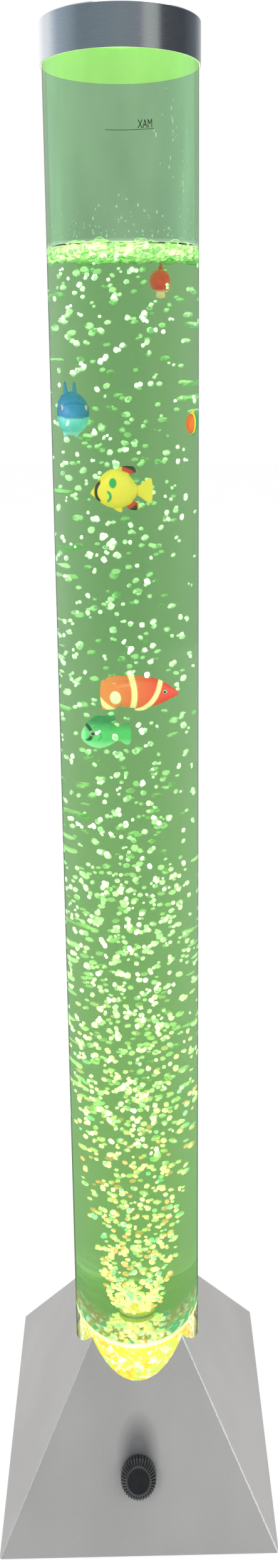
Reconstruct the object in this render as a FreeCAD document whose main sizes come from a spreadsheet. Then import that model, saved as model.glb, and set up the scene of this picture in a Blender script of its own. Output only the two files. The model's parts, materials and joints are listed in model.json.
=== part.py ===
import FreeCAD, Part
import math
import os
import re

import Sketcher
from FreeCAD import Placement, Rotation, Vector

# Bubble tube floor lamp: a water-filled clear tube that stands in a folded pyramid base.
# Millimetres, +Z up, the front with the knob faces -Y, origin on the floor under the tube's axis.

SIZES = {
    # pyramid base
    "base_side": 210,
    "base_rise": 190,
    "sheet_gauge": 1.5,
    "ridge_round": 2,
    "foot_rise": 3,
    "foot_width": 18,
    "foot_inset": 30,
    "plate_gauge": 3,
    "plate_gap": 0.3,
    "vent_length": 34,
    "vent_width": 3,
    "vent_pitch": 7,
    "vent_count": 5,
    "block_side": 22,
    "block_rise": 16,
    "block_gap": 0.3,
    "corner_screw_inset": 15,
    # screws
    "screw_width": 3,
    "screw_head_width": 5.6,
    "screw_head_rise": 1.8,
    "screw_length": 14,
    "screw_gap": 0.05,
    # clear tube and what holds it
    "tube_width": 100,
    "tube_wall": 3,
    "tube_gap": 0.3,
    "cradle_rise": 53,
    "cradle_grip": 25,
    "cradle_wall": 3.5,
    "ledge_gauge": 4,
    "ledge_width": 7,
    "leg_inset": 0.5,
    "leg_gauge": 8,
    "leg_width": 16,
    "leg_pad_gauge": 4,
    "leg_pad_reach": 72,
    "leg_screw_reach": 64,
    "gasket_gauge": 1,
    "gasket_width": 4,
    "floor_height": 134,
    "floor_gauge": 5,
    "glue_gap": 0.1,
    # air nozzle through the clear floor
    "nozzle_bore": 2.4,
    "nozzle_stem": 9.6,
    "nozzle_flange": 18,
    "nozzle_flange_gauge": 3,
    "nozzle_crown": 2,
    "nozzle_tip": 6,
    "nozzle_drop": 7,
    "nozzle_seal_gauge": 1.5,
    "nut_ring_width": 20,
    "nut_groove_width": 16,
    "nut_ring_gauge": 5.1,
    # lit board under the clear floor
    "board_height": 88,
    "board_gauge": 1.6,
    "board_gap": 3,
    "board_hole": 18,
    "board_pin_inset": 6,
    "spacer_width": 7,
    "pin_stand": 1.5,
    "lug_width": 11,
    "lug_overhang": 6,
    "led_side": 5,
    "led_rise": 1.6,
    "led_reach": 26,
    "led_count": 12,
    # air pump, valve and hoses
    "pump_side": 44,
    "pump_round": 6,
    "pump_case_rise": 22,
    "pump_lid_rise": 13,
    "pump_lid_step": 0.5,
    "pump_rib_width": 2,
    "pump_rib_pitch": 6,
    "pump_rib_count": 5,
    "pump_rib_depth": 1.2,
    "pump_rib_length": 28,
    "mount_rise": 4,
    "mount_width": 9,
    "mount_inset": 7,
    "spigot_width": 3.9,
    "spigot_bore": 2,
    "spigot_length": 7,
    "spigot_flange": 9,
    "spigot_flange_gauge": 2,
    "hose_width": 6,
    "hose_bore": 4,
    "hose_length": 16,
    "hose_fit": 0.5,
    "valve_width": 13,
    "valve_length": 18,
    # brightness control in the front face
    "knob_height": 45.3,
    "knob_width": 27,
    "knob_face_width": 18.4,
    "knob_depth": 10,
    "knob_bevel_depth": 2.8,
    "knob_float": 1,
    "knob_cavity_width": 17,
    "knob_cavity_depth": 4,
    "knob_cap_gauge": 1,
    "knob_cap_rim": 1,
    "flute_count": 36,
    "flute_depth": 0.9,
    "flute_width": 1.5,
    "shaft_width": 6,
    "shaft_fit": 0.04,
    "shaft_reach": 9,
    "shaft_back": 7,
    "bushing_width": 7,
    "bushing_reach": 4,
    "can_width": 17,
    "can_depth": 9.5,
    "pin_width": 1,
    "pin_gauge": 0.6,
    "pin_drop": 4,
    "pin_pitch": 5,
    "dimmer_nut_flats": 10,
    "dimmer_nut_gauge": 2.2,
    "panel_fit": 0.1,
    # driver board
    "driver_reach": 64,
    "driver_length": 50,
    "driver_width": 44,
    "post_rise": 8,
    "post_width": 6,
    "post_inset": 4,
    "terminal_rise": 9,
    "terminal_width": 6,
    "terminal_length": 12,
    "terminal_inset": 5,
    "coil_width": 12,
    "coil_length": 14,
    "capacitor_width": 8,
    "capacitor_rise": 11,
    # cable gland in the rear face
    "gland_height": 19,
    "gland_bore": 6,
    "gland_thread": 11.6,
    "gland_flats": 15,
    "gland_flange_gauge": 3.5,
    "gland_dome_width": 12.4,
    "gland_dome_rise": 9,
    "gland_back": 8.5,
    "gland_nut_flats": 17,
    "gland_nut_gauge": 3,
    # inner leads
    "lead_width": 3.2,
    "lead_gauge": 1.6,
    "dimmer_lead_run": 18.6,
    "led_lead_reach": 30,
    # cap
    "lamp_height": 1089.5,
    "cap_rise": 25.5,
    "cap_gauge": 0.8,
    "cap_round": 0.7,
    "seal_gauge": 2,
    "seal_gap": 0.5,
}

doc = FreeCAD.newDocument("BubbleTubeLamp")
sheet = doc.addObject("Spreadsheet::Sheet", "Sizes")
for row, (alias, number) in enumerate(SIZES.items(), start=1):
    sheet.set(f"A{row}", alias)
    sheet.set(f"B{row}", str(number))
    sheet.setAlias(f"B{row}", alias)
doc.recompute()

PARTS = []


def size(alias):
    """The sheet's number for one alias."""
    return float(sheet.get(alias))


def cell(expression):
    """An expression written with bare aliases, with each alias made a reference to the sheet."""

    def tied(match):
        word = match.group()
        return f"Sizes.{word}" if word in SIZES else word

    return re.sub(r"[a-z_]+", tied, expression).replace(" (", "(").replace("( ", "(")


# Places that several pieces share, as expressions in the sheet's aliases.
PLATE_TOP = "( foot_rise + plate_gauge )"
LEDGE_TOP = f"( {PLATE_TOP} + cradle_rise )"
TUBE_FOOT = f"( {LEDGE_TOP} + gasket_gauge )"
TUBE_HEAD = "( lamp_height - cap_gauge - seal_gauge )"
TUBE_RADIUS = "( tube_width / 2 )"
BORE_RADIUS = "( tube_width / 2 - tube_wall )"
LEDGE_INNER = f"( {TUBE_RADIUS} - ledge_width )"
LEG_REACH = f"( {TUBE_RADIUS} - leg_inset )"
BOARD_RADIUS = f"( {BORE_RADIUS} - board_gap )"
BOARD_PIN_REACH = f"( {BOARD_RADIUS} - board_pin_inset )"
SLOPE = "atan ( 2 * base_rise / base_side )"
SHEET_STEP = f"( sheet_gauge / sin ( {SLOPE} ) )"
PUMP_FOOT = f"( {PLATE_TOP} + mount_rise )"
SCREW_RADIUS = "( screw_width / 2 )"
CORNER_REACH = "( ( base_side / 2 - corner_screw_inset ) * sqrt ( 2 ) )"
NOZZLE_FOOT = "( floor_height + nozzle_seal_gauge )"
NUT_RINGS = 2
NUT_RISE = f"( {2 * NUT_RINGS} * nut_ring_gauge )"
NUT_FOOT = f"( floor_height - floor_gauge - {NUT_RISE} )"
NOZZLE_STEM_END = f"( {NUT_FOOT} - 1 )"
PUMP_TOP = f"( {PUMP_FOOT} + pump_case_rise + pump_lid_rise )"
VALVE_FOOT = f"( {PUMP_TOP} + spigot_flange_gauge + hose_length )"


def half_side(height):
    """Half the pyramid's outer width at a height above its lower edge."""
    return f"( base_side / 2 * ( 1 - ( {height} ) / base_rise ) )"


def new_body(label):
    """An empty body that becomes one node."""
    body = doc.addObject("PartDesign::Body", label)
    body.Label = label
    body.AllowCompound = True
    PARTS.append(body)
    return body


def datum(body, role):
    """One of the body's own origin planes or axes."""
    return next(item for item in body.Origin.OriginFeatures if item.Role == role)


def new_sketch(body, name, role, lift="0"):
    """A sketch on one of the body's origin planes, lifted along that plane's normal."""
    sketch = body.newObject("Sketcher::SketchObject", name)
    sketch.AttachmentSupport = [(datum(body, role), "")]
    sketch.MapMode = "FlatFace"
    sketch.setExpression("AttachmentOffset.Base.z", cell(lift))
    return sketch


def fix(sketch, kind, first, point, expression):
    """Ties one coordinate of a sketch point to the sheet."""
    index = sketch.addConstraint(Sketcher.Constraint(kind, -1, 1, first, point, 1.0))
    sketch.setExpression(f"Constraints[{index}]", cell(expression))


def add_outline(sketch, points):
    """A closed outline of straight edges whose corners are tied to the sheet."""
    first = sketch.GeometryCount
    count = len(points)
    for i in range(count):
        start = Vector(10 + i, 10 + i * i, 0)
        j = (i + 1) % count
        end = Vector(10 + j, 10 + j * j, 0)
        sketch.addGeometry(Part.LineSegment(start, end), False)
    for i in range(count):
        joined = Sketcher.Constraint("Coincident", first + i, 2, first + (i + 1) % count, 1)
        sketch.addConstraint(joined)
    for i, (across, along) in enumerate(points):
        fix(sketch, "DistanceX", first + i, 1, across)
        fix(sketch, "DistanceY", first + i, 1, along)


def add_circle(sketch, radius, across="0", along="0"):
    """A circle whose radius and centre are tied to the sheet."""
    index = sketch.addGeometry(Part.Circle(Vector(1, 1, 0), Vector(0, 0, 1), 2), False)
    ring = sketch.addConstraint(Sketcher.Constraint("Radius", index, 2.0))
    sketch.setExpression(f"Constraints[{ring}]", cell(radius))
    fix(sketch, "DistanceX", index, 3, across)
    fix(sketch, "DistanceY", index, 3, along)


def box_points(across, along, centre_across="0", centre_along="0"):
    """The corners of a rectangle of the given widths about a centre."""
    corners = [("-", "-"), ("+", "-"), ("+", "+"), ("-", "+")]
    return [
        (f"{centre_across} {a} ( {across} ) / 2", f"{centre_along} {b} ( {along} ) / 2")
        for a, b in corners
    ]


def hex_points(flats, across="0", along="0"):
    """The corners of a hexagon about a centre, with the given width across its flats."""
    reach = f"( {flats} ) / 2 / cos ( 30 )"
    return [
        (f"{across} + {reach} * cos ( {60 * i} )", f"{along} + {reach} * sin ( {60 * i} )")
        for i in range(6)
    ]


def revolve(body, points, name="Turned", cut=False):
    """Turns an outline of radius and height about the body's Z axis, added or cut away."""
    sketch = new_sketch(body, name + "Outline", "XZ_Plane")
    add_outline(sketch, points)
    kind = "PartDesign::Groove" if cut else "PartDesign::Revolution"
    feature = body.newObject(kind, name)
    feature.Profile = sketch
    feature.ReferenceAxis = (sketch, ["V_Axis"])
    feature.Angle = 360
    return feature


def pad(body, sketch, length, name="Raised"):
    """Raises a sketch along its normal."""
    feature = body.newObject("PartDesign::Pad", name)
    feature.Profile = sketch
    feature.setExpression("Length", cell(length))
    return feature


def pocket(body, sketch, length, name="Sunk", both_ways=False, upward=False):
    """Sinks a sketch into the body, against its normal unless upward is set."""
    feature = body.newObject("PartDesign::Pocket", name)
    feature.Profile = sketch
    feature.setExpression("Length", cell(length))
    feature.Midplane = both_ways
    feature.Reversed = upward
    return feature


def polar(body, features, count, name="Around"):
    """Repeats features evenly about the body's Z axis and makes the result its tip."""
    pattern = body.newObject("PartDesign::PolarPattern", name)
    pattern.Originals = features
    pattern.Axis = (datum(body, "Z_Axis"), [""])
    pattern.Angle = 360
    if isinstance(count, str):
        pattern.setExpression("Occurrences", cell(count))
    else:
        pattern.Occurrences = count
    body.Tip = pattern
    return pattern


def linear(body, features, role, span, count, name="Along"):
    """Repeats features along one of the body's origin axes and makes the result its tip."""
    pattern = body.newObject("PartDesign::LinearPattern", name)
    pattern.Originals = features
    pattern.Direction = (datum(body, role), [""])
    pattern.setExpression("Length", cell(span))
    pattern.setExpression("Occurrences", cell(count))
    body.Tip = pattern
    return pattern


def dress(body, kind, amount, wanted, name):
    """Rounds or bevels the edges of the body's last solid that wanted picks out."""
    doc.recompute()
    base = body.Tip
    picked = [f"Edge{i}" for i, edge in enumerate(base.Shape.Edges, start=1) if wanted(edge)]
    feature = body.newObject(kind, name)
    feature.Base = (base, picked)
    amount_name = "Radius" if kind.endswith("Fillet") else "Size"
    feature.setExpression(amount_name, cell(amount))
    body.Tip = feature
    return feature


def place(body, across="0", along="0", up="0"):
    """Ties the body's position to the sheet."""
    body.setExpression("Placement.Base.x", cell(across))
    body.setExpression("Placement.Base.y", cell(along))
    body.setExpression("Placement.Base.z", cell(up))


def lean(body, height, side):
    """Stands the body's Z axis square on the front (side -1) or rear (side 1) face of the base."""
    place(body, "0", f"{side} * {half_side(height)}", f"foot_rise + {height}")
    body.Placement.Rotation = Rotation(Vector(1, 0, 0), 60)
    body.setExpression("Placement.Rotation.Angle", cell(SLOPE))
    if side > 0:
        body.setExpression("Placement.Rotation.Axis.x", "-1")


def is_upright(edge):
    """True for an edge that runs along Z."""
    return edge.BoundBox.XLength < 1e-4 and edge.BoundBox.YLength < 1e-4


# ---------------------------------------------------------------- pyramid base


def slanted_sketch(body, name, height, side):
    """A sketch that lies on the front or rear slope of the base, centred at a height."""
    sketch = new_sketch(body, name, "XY_Plane", height)
    axis = Vector(-side, 0, 0)
    offset = Placement(Vector(0, 0, 0), Rotation(axis, 60))
    sketch.AttachmentOffset = offset
    sketch.setExpression("AttachmentOffset.Base.y", cell(f"{side} * {half_side(height)}"))
    sketch.setExpression("AttachmentOffset.Base.z", cell(height))
    sketch.setExpression("AttachmentOffset.Rotation.Angle", cell(SLOPE))
    return sketch


def new_wedge(body, name, low_reach, high_reach, rise, low_start=None, high_start=None):
    """A block that narrows upwards, square in plan, from its start to its reach both ways."""
    wedge = body.newObject("PartDesign::AdditiveWedge", name)
    wedge.AttachmentSupport = [(datum(body, "XY_Plane"), "")]
    wedge.MapMode = "FlatFace"
    wedge.AttachmentOffset = Placement(Vector(0, 0, 0), Rotation(Vector(1, 0, 0), 90))
    wedge.setExpression("Ymax", cell(rise))
    wedge.Ymin = 0
    sides = {
        "Xmin": low_start or f"-1 * {low_reach}",
        "Xmax": low_reach,
        "X2min": high_start or f"-1 * {high_reach}",
        "X2max": high_reach,
    }
    for side, expression in sides.items():
        wedge.setExpression(side, cell(expression))
    turned = {
        "Zmin": f"-1 * {low_reach}",
        "Zmax": f"-1 * {low_start}" if low_start else low_reach,
        "Z2min": f"-1 * {high_reach}",
        "Z2max": f"-1 * {high_start}" if high_start else high_reach,
    }
    for side, expression in turned.items():
        wedge.setExpression(side, cell(expression))
    return wedge


def make_base_shell():
    """Four folded slopes in one sheet, pierced by the tube, so that the upper edge follows it."""
    body = new_body("base_shell")
    crop = "( base_rise * ( 1 - tube_width * 0.3 / ( base_side / 2 ) ) )"
    new_wedge(body, "Slopes", "base_side / 2", half_side(crop), crop)

    def is_ridge(edge):
        return edge.BoundBox.ZLength > 1

    dress(body, "PartDesign::Fillet", "ridge_round", is_ridge, "RoundedRidges")
    doc.recompute()
    solid = body.Tip
    faces = enumerate(solid.Shape.Faces, start=1)
    open_faces = [f"Face{i}" for i, face in faces if face.BoundBox.ZLength < 1e-4]
    folded = body.newObject("PartDesign::Thickness", "FoldedSheet")
    folded.Base = (solid, open_faces)
    folded.setExpression("Value", cell("sheet_gauge"))
    folded.Reversed = True
    body.Tip = folded

    bore = new_sketch(body, "TubeHole", "XY_Plane")
    add_circle(bore, f"{TUBE_RADIUS} + tube_gap")
    pocket(body, bore, "2 * base_rise", "TubeCut", upward=True)
    front = slanted_sketch(body, "DimmerHole", "knob_height", -1)
    add_circle(front, "bushing_width / 2 + panel_fit")
    pocket(body, front, "sheet_gauge * 8", "DimmerCut", both_ways=True)
    rear = slanted_sketch(body, "GlandHole", "gland_height", 1)
    add_circle(rear, "gland_thread / 2 + panel_fit")
    pocket(body, rear, "sheet_gauge * 8", "GlandCut", both_ways=True)
    place(body, up="foot_rise")


def make_corner_blocks():
    """Blocks glued into the four inner corners, which take the base plate's screws."""
    body = new_body("corner_blocks")
    low_reach = f"( {half_side('plate_gauge')} - {SHEET_STEP} - block_gap )"
    high_reach = f"( {half_side('plate_gauge + block_rise')} - {SHEET_STEP} - block_gap )"
    inner = f"( {low_reach} - block_side )"
    block = new_wedge(body, "Block", low_reach, high_reach, "block_rise", inner, inner)
    hole = new_sketch(body, "ScrewHole", "XY_Plane")
    centre = "base_side / 2 - corner_screw_inset"
    add_circle(hole, f"{SCREW_RADIUS} + screw_gap", centre, centre)
    cut = pocket(body, hole, "screw_length", "ScrewCut", upward=True)
    polar(body, [block, cut], 4)
    place(body, up=PLATE_TOP)


def make_base_plate():
    """The floor of the base, inside the folded sheet, with screw holes and air slots."""
    body = new_body("base_plate")
    reach = f"( {half_side('plate_gauge')} - {SHEET_STEP} - plate_gap )"
    outline = new_sketch(body, "PlateOutline", "XY_Plane")
    add_outline(outline, box_points(f"2 * {reach}", f"2 * {reach}"))
    pad(body, outline, "plate_gauge", "Plate")
    holes = new_sketch(body, "Holes", "XY_Plane")
    corner = "base_side / 2 - corner_screw_inset"
    add_circle(holes, f"{SCREW_RADIUS} + screw_gap", corner, corner)
    leg = "leg_screw_reach / sqrt ( 2 )"
    add_circle(holes, f"{SCREW_RADIUS} + screw_gap", leg, leg)
    drilled = pocket(body, holes, "plate_gauge", "Drilled", upward=True)
    polar(body, [drilled], 4, "AllHoles")
    slot = new_sketch(body, "Slot", "XY_Plane")
    first = "0 - vent_pitch * ( vent_count - 1 ) / 2"
    add_outline(slot, box_points("vent_width", "vent_length", first, "0 - base_side / 4"))
    vent = pocket(body, slot, "plate_gauge", "Vent", upward=True)
    linear(body, [vent], "X_Axis", "vent_pitch * ( vent_count - 1 )", "vent_count", "Vents")
    place(body, up="foot_rise")


def make_screws(label, reach, up, length, head_down=False):
    """Four hexagon-headed screws about the axis, driven from below or from above."""
    body = new_body(label)
    centre = f"( ( {reach} ) / sqrt ( 2 ) )"
    shank = new_sketch(body, "Shank", "XY_Plane", "0" if head_down else f"-1 * ( {length} )")
    add_circle(shank, SCREW_RADIUS, centre, centre)
    post = pad(body, shank, length, "ShankPost")
    head = new_sketch(body, "Head", "XY_Plane", "-1 * screw_head_rise" if head_down else "0")
    add_outline(head, hex_points("screw_head_width", centre, centre))
    cap = pad(body, head, "screw_head_rise", "HeadPad")
    polar(body, [post, cap], 4)
    place(body, up=up)


def make_feet():
    """Four round rubber feet under the plate."""
    body = new_body("rubber_feet")
    centre = "base_side / 2 - foot_inset"
    outline = new_sketch(body, "FootOutline", "XY_Plane")
    add_circle(outline, "foot_width / 2", centre, centre)
    drum = pad(body, outline, "foot_rise", "Drum")
    polar(body, [drum], 4)


# ---------------------------------------------------------------- clear tube and cradle


def make_cradle():
    """The moulded stand that carries the tube: a socket ring with a ledge, on four legs."""
    body = new_body("tube_cradle")
    inner = f"( {TUBE_RADIUS} + tube_gap )"
    outer = f"( {inner} + cradle_wall )"
    under = "( cradle_rise - ledge_gauge )"
    revolve(
        body,
        [
            (LEDGE_INNER, under),
            (outer, under),
            (outer, "cradle_rise + cradle_grip"),
            (inner, "cradle_rise + cradle_grip"),
            (inner, "cradle_rise"),
            (LEDGE_INNER, "cradle_rise"),
        ],
        "Socket",
    )

    def turned_sketch(name, lift="0"):
        sketch = new_sketch(body, name, "XY_Plane", lift)
        sketch.AttachmentOffset = Placement(Vector(0, 0, 0), Rotation(Vector(0, 0, 1), 45))
        sketch.setExpression("AttachmentOffset.Base.z", cell(lift))
        return sketch

    leg = turned_sketch("LegOutline")
    add_outline(leg, box_points("leg_gauge", "leg_width", LEG_REACH))
    column = pad(body, leg, "cradle_rise - ledge_gauge / 2", "Leg")
    sole = turned_sketch("PadOutline")
    start = f"( {LEG_REACH} - leg_gauge / 2 )"
    middle = f"( ( leg_pad_reach + {start} ) / 2 )"
    add_outline(sole, box_points(f"leg_pad_reach - {start}", "leg_width", middle))
    foot = pad(body, sole, "leg_pad_gauge", "LegPad")
    lug = turned_sketch("LugOutline", under)
    lug_end = f"( {LEDGE_INNER} + 1 )"
    lug_inner = f"( {BOARD_PIN_REACH} - lug_overhang )"
    lug_middle = f"( ( {lug_end} + {lug_inner} ) / 2 )"
    add_outline(lug, box_points(f"{lug_end} - {lug_inner}", "lug_width", lug_middle))
    shelf = pad(body, lug, "ledge_gauge", "Lug")
    hole = turned_sketch("LegScrewHole")
    add_circle(hole, f"{SCREW_RADIUS} + screw_gap", "leg_screw_reach")
    foot_cut = pocket(body, hole, "leg_pad_gauge", "LegScrewCut", upward=True)
    polar(body, [column, foot, shelf, foot_cut], 4)
    place(body, up=PLATE_TOP)


def ring_points(inner, outer, low, high):
    """The section of a plain ring."""
    return [(inner, low), (outer, low), (outer, high), (inner, high)]


def make_tube():
    """The clear tube, its rubber gasket and the clear floor glued into it."""
    tube = new_body("tube")
    revolve(tube, ring_points(BORE_RADIUS, TUBE_RADIUS, "0", f"{TUBE_HEAD} - {TUBE_FOOT}"))
    place(tube, up=TUBE_FOOT)

    gasket = new_body("tube_gasket")
    revolve(gasket, ring_points(f"{TUBE_RADIUS} - gasket_width", TUBE_RADIUS, "0", "gasket_gauge"))
    place(gasket, up=LEDGE_TOP)

    floor = new_body("tube_floor")
    stem_hole = "nozzle_stem / 2 + screw_gap"
    revolve(floor, ring_points(stem_hole, f"{BORE_RADIUS} - glue_gap", "0", "floor_gauge"))
    place(floor, up="floor_height - floor_gauge")


def make_nozzle():
    """The air nozzle, its seal on the clear floor and the ringed nut that clamps it from below."""
    nozzle = new_body("air_nozzle")
    stem_end = f"( {NOZZLE_STEM_END} - {NOZZLE_FOOT} )"
    crown = "nozzle_flange_gauge + nozzle_crown"
    profile = [
        ("nozzle_bore / 2", f"{stem_end} - nozzle_drop"),
        ("spigot_width / 2", f"{stem_end} - nozzle_drop"),
        ("spigot_width / 2", stem_end),
        ("nozzle_stem / 2", stem_end),
        ("nozzle_stem / 2", "0"),
        ("nozzle_flange / 2", "0"),
        ("nozzle_flange / 2", "nozzle_flange_gauge"),
        ("nozzle_tip / 2", crown),
        ("nozzle_bore / 2", crown),
    ]
    revolve(nozzle, profile)
    place(nozzle, up=NOZZLE_FOOT)

    seal = new_body("nozzle_seal")
    inner = "nozzle_stem / 2 + screw_gap"
    revolve(seal, ring_points(inner, "nozzle_flange / 2 - 0.5", "0", "nozzle_seal_gauge"))
    place(seal, up="floor_height")

    nut = new_body("nozzle_nut")
    ring = "nut_ring_width / 2"
    groove = "nut_groove_width / 2"
    rings = [(inner, "0")]
    for i in range(NUT_RINGS):
        base = f"{2 * i} * nut_ring_gauge"
        middle = f"{2 * i + 1} * nut_ring_gauge"
        top = f"{2 * i + 2} * nut_ring_gauge"
        rings += [(groove, base), (groove, middle), (ring, middle), (ring, top)]
    rings += [(inner, NUT_RISE)]
    revolve(nut, rings)
    place(nut, up=NUT_FOOT)


# ---------------------------------------------------------------- lit board


def make_lit_board():
    """The round board with its ring of lamps, on four hexagonal spacers whose pins it drops over."""
    board = new_body("led_board")
    outline = new_sketch(board, "BoardOutline", "XY_Plane")
    add_circle(outline, BOARD_RADIUS)
    add_circle(outline, "board_hole / 2")
    pad(board, outline, "board_gauge", "Board")
    hole = new_sketch(board, "BoardHole", "XY_Plane")
    reach = f"{BOARD_PIN_REACH} / sqrt ( 2 )"
    add_circle(hole, f"{SCREW_RADIUS} + screw_gap", reach, reach)
    cut = pocket(board, hole, "board_gauge", "BoardCut", upward=True)
    polar(board, [cut], 4)
    place(board, up="board_height")

    leds = new_body("leds")
    lamp = new_sketch(leds, "LampOutline", "XY_Plane")
    add_outline(lamp, box_points("led_side", "led_side", "led_reach"))
    block = pad(leds, lamp, "led_rise", "Lamp")
    polar(leds, [block], "led_count")
    place(leds, up="board_height + board_gauge")

    spacers = new_body("board_spacers")
    column = new_sketch(spacers, "SpacerOutline", "XY_Plane")
    add_outline(column, hex_points("spacer_width", reach, reach))
    post = pad(spacers, column, f"board_height - {LEDGE_TOP}", "Spacer")
    stud = new_sketch(spacers, "StudOutline", "XY_Plane", f"board_height - {LEDGE_TOP}")
    add_circle(stud, SCREW_RADIUS, reach, reach)
    pin = pad(spacers, stud, "board_gauge + pin_stand", "Stud")
    polar(spacers, [post, pin], 4)
    place(spacers, up=LEDGE_TOP)


# ---------------------------------------------------------------- air pump, valve and hoses


def make_pump():
    """The air pump on rubber pads under the tube: a case, and a ribbed lid with a hose spigot."""
    case = new_body("pump_case")
    outline = new_sketch(case, "CaseOutline", "XY_Plane")
    add_outline(outline, box_points("pump_side", "pump_side"))
    pad(case, outline, "pump_case_rise", "Case")
    dress(case, "PartDesign::Fillet", "pump_round", is_upright, "CaseCorners")
    place(case, up=PUMP_FOOT)

    lid = new_body("pump_lid")
    side = "pump_side - 2 * pump_lid_step"
    cover = new_sketch(lid, "LidOutline", "XY_Plane")
    add_outline(cover, box_points(side, side))
    pad(lid, cover, "pump_lid_rise", "Lid")
    dress(lid, "PartDesign::Fillet", "pump_round", is_upright, "LidCorners")
    groove = new_sketch(lid, "GrooveOutline", "XY_Plane", "pump_lid_rise")
    start = "0 - pump_rib_pitch * ( pump_rib_count - 1 ) / 2"
    add_outline(groove, box_points("pump_rib_width", "pump_rib_length", start))
    cut = pocket(lid, groove, "pump_rib_depth", "Groove")
    linear(lid, [cut], "X_Axis", "pump_rib_pitch * ( pump_rib_count - 1 )", "pump_rib_count")
    flange = "pump_lid_rise + spigot_flange_gauge"
    revolve(
        lid,
        [
            ("0", "pump_lid_rise / 2"),
            ("spigot_flange / 2", "pump_lid_rise / 2"),
            ("spigot_flange / 2", flange),
            ("spigot_width / 2", flange),
            ("spigot_width / 2", f"{flange} + spigot_length"),
            ("0", f"{flange} + spigot_length"),
        ],
        "Spigot",
    )
    bore = new_sketch(lid, "SpigotBore", "XY_Plane", f"{flange} + spigot_length")
    add_circle(bore, "spigot_bore / 2")
    pocket(lid, bore, "2 * spigot_length", "BoreCut")
    place(lid, up=f"{PUMP_FOOT} + pump_case_rise")

    mounts = new_body("pump_mounts")
    corner = "( pump_side / 2 - mount_inset )"
    foot = new_sketch(mounts, "MountOutline", "XY_Plane")
    add_outline(foot, box_points("mount_width", "mount_width", corner, corner))
    block = pad(mounts, foot, "mount_rise", "Mount")
    polar(mounts, [block], 4)
    place(mounts, up=PLATE_TOP)


def make_valve():
    """The check valve in the rising hose, with a spigot at each end."""
    valve = new_body("check_valve")
    wide = "valve_width / 2"
    slim = "spigot_width / 2"
    inner = "spigot_bore / 2"
    revolve(
        valve,
        [
            (inner, "0 - spigot_length"),
            (slim, "0 - spigot_length"),
            (slim, "0"),
            (wide, "0"),
            (wide, "valve_length"),
            (slim, "valve_length"),
            (slim, "valve_length + spigot_length"),
            (inner, "valve_length + spigot_length"),
        ],
    )
    place(valve, up=VALVE_FOOT)


def make_hoses():
    """The air hoses from the pump up to the check valve, and on to the nozzle."""
    lower = new_body("hose_lower")
    runs_between(lower, f"{PUMP_TOP} + spigot_flange_gauge", VALVE_FOOT)
    upper = new_body("hose_upper")
    runs_between(upper, f"{VALVE_FOOT} + valve_length", NOZZLE_STEM_END)


def runs_between(body, low, high):
    """A straight hose on the axis that stops just short of a shoulder at each end."""
    rise = f"( {high} ) - ( {low} ) - 2 * hose_fit"
    revolve(body, ring_points("hose_bore / 2", "hose_width / 2", "0", rise))
    place(body, up=f"{low} + hose_fit")


def rounded_path(points):
    """A wire of straight runs joined by tangent arcs, each as large as its two runs allow."""
    edges = []
    at = points[0]
    last = len(points) - 2
    for i in range(1, last + 1):
        into = points[i] - points[i - 1]
        away = points[i + 1] - points[i]
        half_turn = into.getAngle(away) / 2
        room_before = into.Length * (0.9 if i == 1 else 0.48)
        room_after = away.Length * (0.9 if i == last else 0.48)
        set_back = min(room_before, room_after)
        bend = set_back / math.tan(half_turn)
        into.normalize()
        away.normalize()
        start = points[i] - into * set_back
        end = points[i] + away * set_back
        inward = away - into
        inward.normalize()
        middle = points[i] + inward * (bend / math.cos(half_turn) - bend)
        edges.append(Part.LineSegment(at, start).toShape())
        edges.append(Part.Arc(start, middle, end).toShape())
        at = end
        print(f"  bend {i}: radius {bend:.1f} mm")
    edges.append(Part.LineSegment(at, points[-1]).toShape())
    return Part.Wire(edges)


def make_lead(label, points):
    """A flat two-core lead; its volume is compared with section times length."""
    print(label)
    path = rounded_path(points)
    width = size("lead_width")
    gauge = size("lead_gauge")
    along = points[1] - points[0]
    along.normalize()
    across = along.cross(Vector(0, 0, 1)) if abs(along.z) < 0.9 else Vector(0, 1, 0)
    across.normalize()
    flat = along.cross(across)
    corners = [
        points[0] + across * (a * width / 2) + flat * (b * gauge / 2)
        for a, b in ((-1, -1), (1, -1), (1, 1), (-1, 1), (-1, -1))
    ]
    shape = path.makePipe(Part.Face(Part.makePolygon(corners)))
    ratio = shape.Volume / (width * gauge * path.Length)
    print(f"  length {path.Length:.1f} mm, volume over section times length {ratio:.4f}")
    feature = doc.addObject("Part::Feature", label)
    feature.Label = label
    feature.Shape = shape
    PARTS.append(feature)


# ---------------------------------------------------------------- brightness control


def make_dimmer():
    """The potentiometer behind the front face, with its nut outside."""
    inside = "( 0 - sheet_gauge )"
    can = new_body("dimmer")
    bore = "shaft_width / 2 + shaft_fit"
    revolve(
        can,
        [
            (bore, "bushing_reach"),
            (bore, f"{inside} - shaft_back - shaft_fit"),
            ("shaft_fit", f"{inside} - shaft_back - shaft_fit"),
            ("shaft_fit", f"{inside} - can_depth"),
            ("can_width / 2", f"{inside} - can_depth"),
            ("can_width / 2", inside),
            ("bushing_width / 2", inside),
            ("bushing_width / 2", "bushing_reach"),
        ],
        "Can",
    )
    pins = new_sketch(can, "PinOutline", "XY_Plane", f"{inside} - can_depth / 2")
    for shift in (-1, 0, 1):
        across = f"{shift} * pin_pitch"
        along = "0 - can_width / 2 - pin_drop / 2 + 1"
        add_outline(pins, box_points("pin_width", "pin_drop + 2", across, along))
    pad(can, pins, "pin_gauge", "Pins")
    lean(can, "knob_height", -1)

    nut = new_body("dimmer_nut")
    outline = new_sketch(nut, "NutOutline", "XY_Plane")
    add_outline(outline, hex_points("dimmer_nut_flats"))
    add_circle(outline, "bushing_width / 2 + panel_fit")
    pad(nut, outline, "dimmer_nut_gauge")
    lean(nut, "knob_height", -1)


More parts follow.
